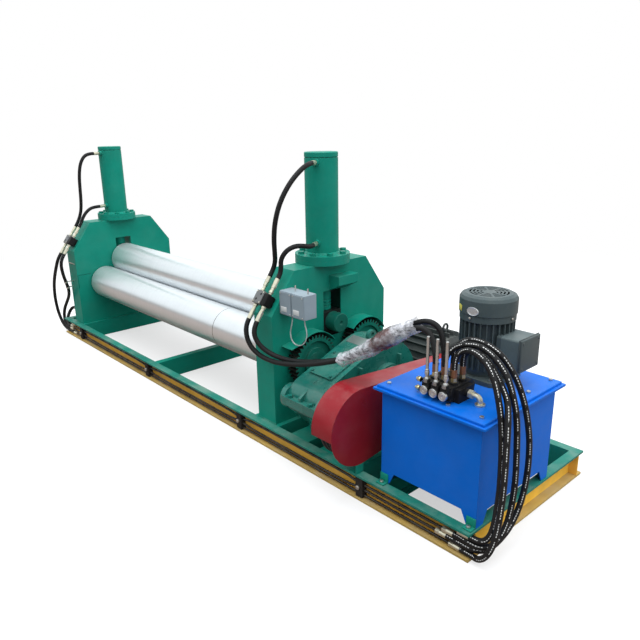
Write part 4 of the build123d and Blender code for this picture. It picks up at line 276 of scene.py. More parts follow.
@dataclass(frozen=True)
class Layer:
    """Zone of a node with a finish of its own, bounded by planes or by a radius about X."""

    colour: Point
    rough: float
    metal: float = 0.0
    beyond: tuple[Plane, ...] = ()
    rim: Optional[Point] = None
    rim_fade: float = 0.004

    def mask(self, g: Graph, coords: Socket) -> Value:
        """Mask of the zone.

        Args:
            g: node layout of the material.
            coords: Object coordinates.

        Returns:
            1 in the zone and 0 outside it.
        """
        zones = [g.math("GREATER_THAN", g.vector("DOT_PRODUCT", coords, direction, "Value"), distance)
                 for direction, distance in self.beyond]
        if self.rim is not None:
            y, z, radius = self.rim
            flat = g.vector("MULTIPLY", g.vector("SUBTRACT", coords, (0.0, y, z)), (0.0, 1.0, 1.0))
            reach = g.vector("LENGTH", flat, output="Value")
            zones.append(g.spread(reach, radius, radius + self.rim_fade))
        return g.times(*zones)


@dataclass(frozen=True)
class Finish:
    """Painted, plated or cast surface."""

    name: str
    colour: Point
    rough: float
    metal: float = 0.0
    coat: float = 0.0
    mottle: float = 0.12
    dust: float = 0.1
    # Share of the edges mixed to the bare colour: chipped paint and a painted edge highlight.
    edge_wear_and_highlight: float = 0.3
    bare: Point = (0.20, 0.19, 0.17)
    bump: float = 0.12
    depth: float = 0.0008
    gloss: float = 0.1
    coat_rough: float = 0.12
    layers: tuple[Layer, ...] = ()

    @cache
    def material(self) -> bpy.types.Material:
        """Material of the finish.

        Returns:
            The material, built at its first use.
        """
        made, g = start_material(self.name)
        colour: Value = self.colour
        rough: Value = self.rough
        metal: Value = self.metal
        coords = g.coords()
        for layer in self.layers:
            mask = layer.mask(g, coords)
            colour = g.mix(mask, colour, layer.colour)
            rough = g.blend(mask, rough, layer.rough)
            if layer.metal != self.metal or isinstance(metal, Socket):
                metal = g.blend(mask, metal, layer.metal)
        values = {"Colour": colour, "Bare": self.bare, "Roughness": rough}
        values |= {"Mottle": self.mottle, "Dust": self.dust, "Wear": self.edge_wear_and_highlight}
        group = g.add("ShaderNodeGroup", values, node_tree=coated_metal()).outputs
        bent = g.bump(group["Height"], self.bump, self.depth, Normal=group["Normal"])
        shader = {"Base Color": group["Colour"], "Roughness": group["Roughness"], "Metallic": metal}
        shader |= {"Normal": bent, "Specular IOR Level": self.gloss}
        g.surface(shader | {"Coat Weight": self.coat, "Coat Roughness": self.coat_rough})
        return made


@dataclass(frozen=True)
class TurnedFinish:
    """Bare steel turned about the X axis, with an end painted in a darker copy of the green as painted shade,
    and a scribed line.
    """

    name: str
    painted_beyond: float
    scribe: float = 10.0
    colour: Point = (0.86, 0.89, 0.91)
    rough: float = 0.31
    stain: Point = (0.36, 0.33, 0.30)
    bump: float = 0.02
    depth: float = 0.0004
    metal: float = 0.86
    brushed: float = 0.82
    brush_turn: float = 0.25
    # Darker copy of the green on the roll's end: painted shade.
    shaded_end_paint: Point = (0.005, 0.125, 0.092)
    paint_rough: float = 0.42
    scribe_tone: Point = (0.10, 0.085, 0.075)
    scribe_half: float = 0.0017

    @cache
    def material(self) -> bpy.types.Material:
        """Material of the finish.

        Returns:
            The material, built at its first use.
        """
        made, g = start_material(self.name)
        values = {"Colour": self.colour, "Stain": self.stain, "Roughness": self.rough}
        group = g.add("ShaderNodeGroup", values, node_tree=turned_metal()).outputs
        along = g.axis(g.coords(), "X")
        painted = g.math("GREATER_THAN", along, self.painted_beyond)
        line = g.math("COMPARE", along, self.scribe, self.scribe_half)
        colour = g.mix(painted, g.mix(line, group["Colour"], self.scribe_tone), self.shaded_end_paint)
        rough = g.math("MAXIMUM", group["Roughness"], g.times(painted, self.paint_rough))
        tangent = g.add("ShaderNodeTangent", direction_type="RADIAL", axis="X").outputs[0]
        shader = {"Base Color": colour, "Roughness": rough, "Metallic": g.blend(painted, self.metal, 0.0)}
        shader |= {"Normal": g.bump(group["Height"], self.bump, self.depth), "Tangent": tangent}
        g.surface(shader | {"Anisotropic": self.brushed, "Anisotropic Rotation": self.brush_turn})
        return made


@dataclass(frozen=True)
class HoseFinish:
    """Black hose cover with a line of plain pale dashes, or a plain sleeve without them."""

    name: str
    colour: Point
    rough: float
    dashed: bool = False
    paler: float = 1.8
    dashes: Pair = (118.0, 0.62)
    rows: Pair = (17.0, 0.78)
    dash_width: float = 0.13
    dash_tone: Point = (0.72, 0.73, 0.72)
    ribs: float = 2600.0
    rib_height: float = 0.25
    bump: float = 0.12
    depth: float = 0.0005
    gloss: float = 0.3

    @cache
    def material(self) -> bpy.types.Material:
        """Material that follows the attribute "along" of a tube.

        Returns:
            The material, built at its first use.
        """
        made, g = start_material(self.name)
        along = g.add("ShaderNodeAttribute", attribute_name="along").outputs["Vector"]
        run = g.axis(along, "X")
        cloud = g.noise(g.coords(), HOSE_CLOUDS, 5.0)
        pale = tuple(tone * self.paler for tone in self.colour)
        colour = g.mix(g.spread(cloud, 0.45, 0.75), self.colour, pale)
        if self.dashed:
            marks = [g.math("LESS_THAN", g.math("FRACT", g.times(run, pace)), share)
                     for pace, share in (self.dashes, self.rows)]
            marks.append(g.math("GREATER_THAN", g.axis(along, "Y"), 0.0))
            marks.append(g.math("LESS_THAN", g.math("ABSOLUTE", g.axis(along, "Z")), self.dash_width))
            printed = g.times(*marks, g.spread(cloud, 0.3, 0.5, 0.6, 0.95))
            colour = g.mix(printed, colour, self.dash_tone)
        ribs = g.math("SINE", g.times(run, self.ribs))
        bent = g.bump(g.math("ADD", g.times(ribs, self.rib_height), cloud), self.bump, self.depth)
        rough = g.swing(cloud, self.rough - 0.08, self.rough + 0.1)
        shader = {"Base Color": colour, "Roughness": rough, "Normal": bent}
        g.surface(shader | {"Specular IOR Level": self.gloss})
        return made


@dataclass(frozen=True)
class FilmFinish:
    """Clear crumpled wrapping film, tinted where it is doubled."""

    name: str
    colour: Point
    tint: Point
    tint_place: Point
    tint_reach: float
    tint_core: float = 0.55
    crease_pull: Point = (0.6, 1.0, 1.5)
    cover: Pair = (0.2, 0.85)
    doubled_cover: float = 0.92
    gloss: Pair = (0.12, 0.3)
    bump: float = 0.7
    depth: float = 0.004

    @cache
    def material(self) -> bpy.types.Material:
        """Material of the film.

        Returns:
            The material, built at its first use.
        """
        made, g = start_material(self.name)
        coords = g.coords()
        away = g.vector("DISTANCE", coords, self.tint_place, "Value")
        wander = g.swing(g.noise(coords, WANDER_CLOUDS, 4.0), -0.02, 0.02)
        near = g.spread(g.math("ADD", away, wander), self.tint_reach, self.tint_reach * self.tint_core)
        creased = g.noise(g.vector("MULTIPLY", coords, self.crease_pull), CREASE_CLOUDS, 6.0, 0.7)
        alpha = g.blend(near, g.spread(creased, 0.38, 0.60, *self.cover), self.doubled_cover)
        height = g.math("ADD", creased, g.times(g.noise(coords, FOLD_CLOUDS, 3.0), 0.4))
        shader = {"Base Color": g.mix(near, self.colour, self.tint), "Alpha": alpha}
        shader |= {"Roughness": g.swing(creased, *self.gloss)}
        g.surface(shader | {"Normal": g.bump(height, self.bump, self.depth)})
        return made


Look = Union[Finish, TurnedFinish, HoseFinish, FilmFinish]

GREEN: Point = (0.006, 0.235, 0.170)
REDUCER_GREEN: Point = (0.009, 0.142, 0.114)
RAIL_YELLOW: Point = (0.88, 0.50, 0.085)
END_YELLOW: Point = (0.97, 0.57, 0.07)
ZINC_TONE: Point = (0.62, 0.60, 0.55)
BRASS_TONE: Point = (0.72, 0.62, 0.34)
CREAM_TONE: Point = (0.74, 0.70, 0.55)
RUBBER: Point = (0.0055, 0.0055, 0.006)
WEB_MIDDLE_Y = 0.3395
WEB_MIDDLE_X = 1.577
FLANGE_LOW, FLANGE_TOP = 0.0084, 0.0916
GEAR_FACE = 0.6788
GEAR_AXIS = (0.154, 0.356)
GEAR_ROOT = 0.0975

GUARD_FOOT = Layer(GREEN, 0.4, beyond=(Facing.DOWN.past(-0.2), Facing.FRONT.past(0.334)),
                   rim=(-0.350, 0.28167, 0.1445))
# Near-black green painted on the drive stand's face over its window: painted shade standing in for the dark
# inside of the slot.
WINDOW_PAINTED_SHADE = Layer((0.003, 0.026, 0.020), 0.5, beyond=(
    Facing.RIGHT.past(0.502), Facing.LEFT.past(-0.6135), Facing.BACK.past(-0.090), Facing.FRONT.past(-0.115),
    Facing.DOWN.past(-0.720)))
TERMINAL_BOX = Layer((0.088, 0.122, 0.128), 0.40, beyond=(Facing.RIGHT.past(1.490), Facing.DOWN.past(-0.645)))
TOP_PAINT = Layer((0.018, 0.200, 0.152), 0.40, beyond=(Facing.UP.past(FLANGE_TOP),))
LOW_FLANGE = Layer((0.50, 0.34, 0.10), 0.5, beyond=(Facing.DOWN.past(-FLANGE_LOW),))

green_paint = Finish("green_paint", GREEN, 0.36, coat=0.05, edge_wear_and_highlight=0.25)
# Darker copy of the green for the upper roll's journal end: painted shade, as that end sits partly in shadow.
journal_shaded_green = Finish("journal_shaded_green", (0.004, 0.115, 0.084), 0.42, mottle=0.3)
# Drive stand green with the painted shade over its window.
drive_stand_green = Finish("drive_stand_green", GREEN, 0.36, coat=0.05, edge_wear_and_highlight=0.25, layers=(WINDOW_PAINTED_SHADE,))
machine_green = Finish("machine_green", REDUCER_GREEN, 0.27, coat=0.5, mottle=0.3, dust=0.2, edge_wear_and_highlight=0.5,
                       gloss=0.35)
red_paint = Finish("red_paint", (0.255, 0.012, 0.019), 0.34, coat=0.14, dust=0.14, gloss=0.18,
                   layers=(GUARD_FOOT,))
blue_paint = Finish("blue_paint", (0.0012, 0.136, 0.62), 0.36, coat=0.05, mottle=0.08, dust=0.08, edge_wear_and_highlight=0.2)
motor_coat = Finish("motor_coat", (0.056, 0.079, 0.084), 0.40, gloss=0.25, mottle=0.15, dust=0.15, edge_wear_and_highlight=0.35,
                    layers=(TERMINAL_BOX,))
cast_grey = Finish("cast_grey", (0.10, 0.10, 0.10), 0.6, metal=0.6, mottle=0.25, bump=0.4)
bush_bronze = Finish("bush_bronze", (0.42, 0.24, 0.09), 0.35, metal=1.0, dust=0.0, edge_wear_and_highlight=0.0)
bright_chrome = Finish("bright_chrome", (0.55, 0.55, 0.54), 0.3, metal=1.0, mottle=0.06, dust=0.0, edge_wear_and_highlight=0.0,
                       bump=0.02)
zinc_plate = Finish("zinc_plate", ZINC_TONE, 0.33, metal=1.0, mottle=0.2, edge_wear_and_highlight=0.0, bump=0.08)
brass = Finish("brass", BRASS_TONE, 0.3, metal=1.0, mottle=0.15, dust=0.0, edge_wear_and_highlight=0.0)
plate_silver = Finish("plate_silver", (0.66, 0.68, 0.68), 0.34, metal=0.7, mottle=0.1, edge_wear_and_highlight=0.0)
dull_plate = Finish("dull_plate", (0.22, 0.27, 0.26), 0.4, metal=0.5, mottle=0.2, edge_wear_and_highlight=0.0)
box_coat = Finish("box_coat", (0.062, 0.080, 0.083), 0.42, gloss=0.2, mottle=0.15, edge_wear_and_highlight=0.35)
tag_yellow = Finish("tag_yellow", (0.56, 0.52, 0.10), 0.5, mottle=0.3, edge_wear_and_highlight=0.0)
greased_steel = Finish("greased_steel", (0.020, 0.026, 0.024), 0.4, metal=0.5, mottle=0.3, edge_wear_and_highlight=0.0)
block_grey = Finish("block_grey", (0.20, 0.205, 0.21), 0.42, metal=0.6, mottle=0.35)
housing_black = Finish("housing_black", (0.012, 0.012, 0.013), 0.42, mottle=0.3, edge_wear_and_highlight=0.2)
nipple_zinc = Finish("nipple_zinc", CREAM_TONE, 0.3, metal=0.9, mottle=0.2, edge_wear_and_highlight=0.0)
seam_green = Finish("seam_green", (0.003, 0.075, 0.056), 0.5, mottle=0.2, edge_wear_and_highlight=0.0)
pale_plastic = Finish("pale_plastic", (0.62, 0.64, 0.64), 0.45, mottle=0.05, dust=0.0, edge_wear_and_highlight=0.0)
belt_cover = Finish("belt_cover", (0.014, 0.014, 0.015), 0.75, mottle=0.2, edge_wear_and_highlight=0.0)
line_steel = Finish("line_steel", (0.060, 0.053, 0.047), 0.26, metal=0.8, mottle=0.35, dust=0.15, edge_wear_and_highlight=0.0)
clamp_dark = Finish("clamp_dark", (0.022, 0.018, 0.016), 0.55, mottle=0.3, dust=0.2)
weld_green = Finish("weld_green", (0.007, 0.165, 0.118), 0.42, mottle=0.25, dust=0.25, edge_wear_and_highlight=0.0, bump=0.4)
pinion_greased = Finish("pinion_greased", (0.03, 0.028, 0.026), 0.3, metal=0.8, edge_wear_and_highlight=0.0)
roll_steel = TurnedFinish("roll_steel", 0.63)
front_roll_steel = TurnedFinish("front_roll_steel", 0.63, scribe=0.036)
upper_roll_steel = TurnedFinish("upper_roll_steel", 0.55)
hose_cover = HoseFinish("hose_cover", RUBBER, 0.46, dashed=True)
hose_plain = HoseFinish("hose_plain", RUBBER, 0.46)
wire_sleeve = HoseFinish("wire_sleeve", (0.42, 0.44, 0.44), 0.4)
wrap_film = FilmFinish("wrap_film", (0.62, 0.63, 0.68), (0.105, 0.048, 0.047), (1.180, -0.290, 0.610), 0.072)


def rail_finish(name: str, *inner: Plane, yellow: Point = RAIL_YELLOW) -> Finish:
    """Yellow channel with a green top flange and a green inner side past the given planes."""
    layers = (LOW_FLANGE, TOP_PAINT, Layer(GREEN, 0.38, beyond=inner))
    return Finish(name, yellow, 0.42, coat=0.05, mottle=0.25, dust=0.35, edge_wear_and_highlight=0.35, layers=layers)


def gear_finish(name: str, side: int) -> Finish:
    """Gear in a darker copy of the green, as painted shade, with a near-black ring over its teeth.

    Args:
        name: name of the material.
        side: -1 for the front gear and 1 for the rear one.

    Returns:
        The finish.
    """
    rim = (GEAR_AXIS[0] * side, GEAR_AXIS[1], GEAR_ROOT)
    # Near-black over the teeth, past their root radius, on the inner side of the gear face.
    teeth = Layer((0.010, 0.010, 0.009), 0.4, beyond=(Facing.LEFT.past(-GEAR_FACE),), rim=rim)
    # The gear's green is a darker copy of the stands' green: painted shade for the gears between the guards.
    return Finish(name, (0.005, 0.135, 0.099), 0.40, coat=0.05, mottle=0.25, layers=(teeth,))


@dataclass
class CadDress:
    """Finishes of the nodes that show as they are in the solid model."""

    valve_front: float = 0.319
    valve_left: float = 1.3
    nut_low: float = 0.5205
    nut_top: float = 0.542
    rod_paint_top: float = 0.735
    hood_right: float = 0.802
    gland_top: float = 0.5815
    pin_low: float = 0.6795
    reducer_left: float = 0.7
    tank_left: float = 1.1

    def rails(self) -> dict[str, Finish]:
        """Finishes of the base's rails.

        Returns:
            Finishes by node name.
        """
        right_of, left_of = Facing.RIGHT.past(-WEB_MIDDLE_X), Facing.LEFT.past(-WEB_MIDDLE_X)
        behind, before = Facing.BACK.past(-WEB_MIDDLE_Y), Facing.FRONT.past(-WEB_MIDDLE_Y)
        return {
            "base_front_rail": rail_finish("rail_front", behind, right_of, left_of),
            "base_rear_rail": rail_finish("rail_rear", before, right_of, left_of),
            "base_left_end": rail_finish("rail_left", right_of),
            "base_right_end": rail_finish("rail_right", left_of, yellow=END_YELLOW),
        }

    def zoned(self) -> dict[str, Finish]:
        """Finishes of the nodes that show several materials.

        Returns:
            Finishes by node name.
        """
        valve = Facing.RIGHT.past(self.valve_left)
        sleeves = Layer((0.33, 0.16, 0.09), 0.36, 0.7, (valve, Facing.UP.past(self.nut_top)))
        between = (Facing.UP.past(self.nut_low), Facing.DOWN.past(-self.nut_top))
        fittings = (sleeves, Layer(BRASS_TONE, 0.3, 1.0, (valve, *between)))
        rod_paint = Layer(GREEN, 0.4, beyond=(Facing.DOWN.past(-self.rod_paint_top),))
        hood = Layer(REDUCER_GREEN, 0.32, beyond=(Facing.LEFT.past(-self.hood_right),))
        caps = Layer((0.34, 0.34, 0.34), 0.3, 0.9, (Facing.FRONT.past(self.valve_front),))
        pin = Layer((0.7, 0.7, 0.68), 0.25, 1.0, (Facing.UP.past(self.pin_low),))
        gland = Layer((0.30, 0.32, 0.33), 0.5, 0.0, (Facing.DOWN.past(-self.gland_top),))
        reducer_bolts = Layer(REDUCER_GREEN, 0.34, beyond=(Facing.RIGHT.past(self.reducer_left),))
        bare_bolts = Layer(ZINC_TONE, 0.33, 1.0, (Facing.RIGHT.past(self.tank_left),))
        return {
            "piston_rods": Finish("rod_chrome", (0.7, 0.7, 0.7), 0.2, metal=1.0, layers=(rod_paint,)),
            "main_motor": Finish("main_motor_grey", (0.05, 0.06, 0.06), 0.45, dust=0.2, layers=(hood,)),
            "valve_body": Finish("valve_coat", (0.014, 0.014, 0.015), 0.36, mottle=0.25, layers=(caps,)),
            "hose_fittings": Finish("fitting_zinc", CREAM_TONE, 0.32, metal=0.9, mottle=0.2, edge_wear_and_highlight=0.0,
                                    layers=fittings),
            "switch_boxes": Finish("switch_coat", (0.26, 0.32, 0.365), 0.42, edge_wear_and_highlight=0.1, layers=(pin, gland)),
            "hex_bolts": Finish("bolt_green", GREEN, 0.38, edge_wear_and_highlight=0.5, layers=(reducer_bolts, bare_bolts)),
        }

    def plain(self) -> dict[str, Look]:
        """Finishes of the nodes that show one material, and of the rolls and gears.

        Returns:
            Finishes by node name.
        """
        shared = {
            green_paint: ("base_cross_members", "motor_bench", "idle_stand", "front_gear_guard",
                          "rear_gear_guard", "idle_press_cylinder", "drive_press_cylinder"),
            machine_green: ("reducer_housing", "reducer_cover", "inspection_cover", "reducer_bearing_caps"),
            cast_grey: ("driven_pulley", "motor_pulley", "hydraulic_pump", "pump_rotor"),
            blue_paint: ("tank_body", "tank_lid"),
            motor_coat: ("pump_motor_body", "pump_motor_fan_cover"),
        }
        plan: dict[str, Look] = {name: finish for finish, names in shared.items() for name in names}
        plan |= {"upper_roll": upper_roll_steel, "front_lower_roll": front_roll_steel}
        plan |= {"rear_lower_roll": roll_steel, "upper_roll_chocks": greased_steel}
        plan["front_roll_gear"] = gear_finish("gear_front", -1)
        plan["rear_roll_gear"] = gear_finish("gear_rear", 1)
        plan |= {"drive_pinion": pinion_greased, "lower_roll_bushes": bush_bronze, "v_belts": belt_cover}
        plan |= {"drive_stand": drive_stand_green, "belt_guard": red_paint, "line_clamps": clamp_dark}
        return plan

    def build(self) -> list[str]:
        """Gives every node its material.

        Returns:
            Names of the nodes that were finished.
        """
        finishes = self.rails() | self.zoned() | self.plain()
        for name, finish in finishes.items():
            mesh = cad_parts[name].data
            mesh.materials.clear()
            mesh.materials.append(finish.material())
        return list(finishes)


def place(normal: Union[Facing, Sequence[float]], *origins: Sequence[float],
          level: Facing = Facing.RIGHT) -> list[Matrix]:
    """Local frames of small pieces.

    Args:
        normal: direction of the local Z axes.
        origins: places of the pieces, in metres.
        level: direction that the local X axes keep nearest to.

    Returns:
        The frames as matrices.
    """
    z = Vector(normal.value if isinstance(normal, Facing) else normal).normalized()
    x = Vector(level.value)
    if abs(x.dot(z)) > 0.99:
        x = Vector(Facing.BACK.value)
    x = (x - z * x.dot(z)).normalized()
    turn = Matrix((x, z.cross(x), z)).transposed().to_4x4()
    return [Matrix.Translation(Vector(origin)) @ turn for origin in origins]


def shift(places: Places, x: float, y: float, z: float) -> list[Matrix]:
    """Frames moved along their own axes."""
    return [at @ Matrix.Translation((x, y, z)) for at in places]


def add_object(name: str, data: bpy.types.ID) -> Piece:
    """Puts a mesh, a lamp or a camera in the scene.

    Args:
        name: name of the object.
        data: what it shows.

    Returns:
        The new object.
    """
    made = bpy.data.objects.new(name, data)
    bpy.context.scene.collection.objects.link(made)
    return made


def declare(name: str, mesh: bpy.types.Mesh, look: Look, body: str) -> Piece:
    """Makes a mesh a piece of the machine.

    Args:
        name: name of the piece.
        mesh: its mesh.
        look: its finish.
        body: body that it moves with.

    Returns:
        The new object.
    """
    mesh.name = name
    mesh.shade_smooth()
    mesh.materials.clear()
    mesh.materials.append(look.material())
    piece = add_object(name, mesh)
    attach(piece, body)
    return piece


SCREW_PROFILE = ((0.0, -0.2), (1.0, -0.2), (1.0, 0.35), (0.7, 0.6), (0.0, 0.62))
SCREW_STEPS = 14
BEAD_PITCH = 0.9
BEAD_SWAY, BEAD_RHYTHM = 0.16, 2.3
MERGE_DISTANCE = 1e-6
SHARP_EDGE = math.radians(38.0)


class Solid:
    """Mesh of one piece, put together from shapes that stand on the local XY plane of every given frame."""

    def __init__(self) -> None:
        """Starts with an empty mesh."""
        self.bm = bmesh.new()

    def soften(self, verts: Sequence[bmesh.types.BMVert], radius: float, segments: int = 2) -> None:
        """Rounds the edges of a shape.

        Args:
            verts: vertices of the shape.
            radius: size of the rounding.
            segments: faces across the rounding.
        """
        edges = list({edge for vert in verts for edge in vert.link_edges})
        bmesh.ops.bevel(self.bm, geom=edges, offset=radius, offset_type="OFFSET", affect="EDGES",
                        segments=segments, profile=0.5, material=-1, clamp_overlap=True)

    def block(self, places: Places, size: Point, radius: float, segments: int = 2) -> "Solid":
        """Adds blocks with rounded edges.

        Args:
            places: local frames.
            size: length along each local axis.
            radius: rounding of the edges.
            segments: faces across the rounding.

        Returns:
            The solid itself.
        """
        for at in shift(places, 0.0, 0.0, size[2] / 2):
            made = bmesh.ops.create_cube(self.bm, size=1.0, matrix=at @ Matrix.Diagonal((*size, 1.0)))
            self.soften(made["verts"], radius, segments)
        return self

    def hexagon(self, places: Places, flats: float, height: float, radius: float = 0.0008) -> "Solid":
        """Adds hexagon bars.

        Args:
            places: local frames.
            flats: width across the flats.
            height: length of the bar.
            radius: rounding of the edges.

        Returns:
            The solid itself.
        """
        reach = flats / math.sqrt(3.0)
        for at in shift(places, 0.0, 0.0, height / 2):
            made = bmesh.ops.create_cone(self.bm, cap_ends=True, segments=6, radius1=reach, radius2=reach,
                                         depth=height, matrix=at)
            self.soften(made["verts"], radius)
        return self

    def turned(self, places: Places, profile: Sequence[Pair], steps: int) -> "Solid":
        """Adds shapes turned about the local Z axis.

        Args:
            places: local frames.
            profile: radius and height of each corner, from end to end.
            steps: faces round the axis.

        Returns:
            The solid itself.
        """
        for at in places:
            verts = [self.bm.verts.new(at @ Vector((radius, 0.0, height))) for radius, height in profile]
            edges = [self.bm.edges.new(pair) for pair in zip(verts, verts[1:])]
            axis = (at.to_3x3() @ Vector(Facing.UP.value)).normalized()
            bmesh.ops.spin(self.bm, geom=verts + edges, cent=at.translation, axis=axis, dvec=(0.0, 0.0, 0.0),
                           angle=2.0 * math.pi, steps=steps, use_merge=True, use_duplicate=False)
        return self

    def pin(self, places: Places, radius: float, height: float, steps: int,
            chamfer: Optional[Pair] = None) -> "Solid":
        """Adds round pins.

        Args:
            places: local frames.
            radius: radius of the pin.
            height: its length.
            steps: faces round the axis.
            chamfer: width and height of the chamfer at its tip.

        Returns:
            The solid itself.
        """
        tip = [(radius, height)]
        if chamfer:
            tip = [(radius, height - chamfer[1]), (radius - chamfer[0], height)]
        return self.turned(places, [(0.0, 0.0), (radius, 0.0), *tip, (0.0, height)], steps)

    def screw(self, places: Places, radius: float) -> "Solid":
        """Adds low domed screw heads."""
        profile = [(reach * radius, rise * radius) for reach, rise in SCREW_PROFILE]
        return self.turned(places, profile, SCREW_STEPS)

    def corner_screws(self, places: Places, wide: float, tall: float, radius: float) -> "Solid":
        """Adds four screws in the corners of rectangles.

        Args:
            places: local frames in the middle of the rectangles.
            wide: distance between the screws along the local X axis.
            tall: distance between them along the local Y axis.
            radius: radius of their heads.

        Returns:
            The solid itself.
        """
        for x, y in product((-0.5, 0.5), repeat=2):
            self.screw(shift(places, x * wide, y * tall, 0.0), radius)
        return self

    def bead(self, start: Point, end: Point, radius: float) -> None:
        """Adds a weld bead of overlapping scallops.

        Args:
            start: one end.
            end: other end.
            radius: half width of the bead.
        """
        first, last = Vector(start), Vector(end)
        count = max(2, int((last - first).length / (radius * BEAD_PITCH)))
        for index in range(count + 1):
            spot = Matrix.Translation(first.lerp(last, index / count))
            wide = radius * (1.0 + BEAD_SWAY * math.sin(index * BEAD_RHYTHM))
            bmesh.ops.create_uvsphere(self.bm, u_segments=8, v_segments=6, radius=wide, matrix=spot)

    def finish(self, name: str, look: Look, slot: str, body: str = "frame") -> Piece:
        """Makes the mesh a piece of the machine.

        Args:
            name: name of the piece.
            look: its finish.
            slot: not used.
            body: body that it moves with.

        Returns:
            The piece.
        """
        bmesh.ops.remove_doubles(self.bm, verts=self.bm.verts, dist=MERGE_DISTANCE)
        bmesh.ops.recalc_face_normals(self.bm, faces=self.bm.faces)
        mesh = bpy.data.meshes.new(name)
        self.bm.to_mesh(mesh)
        self.bm.free()
        piece = declare(name, mesh, look, body)
        mesh.set_sharp_from_angle(angle=SHARP_EDGE)
        return piece


def swept(name: str, points: Sequence[Point], radius: float, facets: int,
          steps: int = 8) -> tuple[bpy.types.Mesh, list[Vector]]:
    """Open tube along a smooth line.

    Args:
        name: name of the tube.
        points: control points of the line, in metres.
        radius: radius of the tube.
        facets: fineness of its section.
        steps: fineness of the line.

    Returns:
        The tube and the points of its middle line.
    """
    curve = bpy.data.curves.new(name + "_line", "CURVE")
    curve.dimensions = "3D"
    curve.resolution_u = steps
    spline = curve.splines.new("NURBS")
    spline.points.add(len(points) - 1)
    for control, spot in zip(spline.points, points):
        control.co = (*spot, 1.0)
    spline.order_u = 3
    spline.use_endpoint_u = True
    holder = bpy.data.objects.new(name + "_line", curve)
    middle = bpy.data.meshes.new_from_object(holder)
    path = [vert.co.copy() for vert in middle.vertices]
    bpy.data.meshes.remove(middle)
    curve.bevel_depth = radius
    curve.bevel_resolution = facets
    mesh = bpy.data.meshes.new_from_object(holder)
    bpy.data.objects.remove(holder)
    bpy.data.curves.remove(curve)
    return mesh, path


def direction(path: Sequence[Vector], index: int) -> Vector:
    """Direction of a line at one of its points."""
    return (path[min(index + 1, len(path) - 1)] - path[max(index - 1, 0)]).normalized()


def close_ends(bm: bmesh.types.BMesh) -> None:
    """Closes the open ends of tubes."""
    bmesh.ops.holes_fill(bm, edges=[edge for edge in bm.edges if edge.is_boundary], sides=0)


@dataclass
class HoseRun:
    """One hose or wire, with the points of its route in metres."""

    node: str
    length: float
    points: tuple[Point, ...]
    diameter: float = 0.020
    lay: Lay = Lay.HANGING
    look: HoseFinish = hose_plain
    slot: str = "hose_rubber"
    dash_side: Point = (0.55, -0.6, 0.55)
    facets: int = 5
    thinnest_stiff: float = 0.01

    def mark(self, mesh: bpy.types.Mesh, path: Sequence[Vector]) -> None:
        """Writes, for each vertex, its run along the hose and how it faces the dashes' side.

        Args:
            mesh: the tube.
            path: points of its middle line.
        """
        around = len(mesh.vertices) // len(path)
        marks = mesh.attributes.new("along", "FLOAT_VECTOR", "POINT")
        run = 0.0
        for index, middle in enumerate(path):
            run += (middle - path[index - 1]).length if index else 0.0
            tangent, toward = direction(path, index), Vector(self.dash_side)
            toward = (toward - tangent * toward.dot(tangent)).normalized()
            across = tangent.cross(toward)
            for number in range(index * around, (index + 1) * around):
                out = (mesh.vertices[number].co - middle).normalized()
                marks.data[number].vector = (run, out.dot(toward), out.dot(across))

    def build(self) -> Piece:
        """Returns:
            The hose.
        """
        mesh, path = swept(self.node, self.points, self.diameter / 2, self.facets)
        self.mark(mesh, path)
        bm = bmesh.new()
        bm.from_mesh(mesh)
        close_ends(bm)
        bmesh.ops.recalc_face_normals(bm, faces=bm.faces)
        bm.to_mesh(mesh)
        bm.free()
        tube = declare(self.node + "_tube", mesh, self.look, "frame")
        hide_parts(self.node)
        return tube


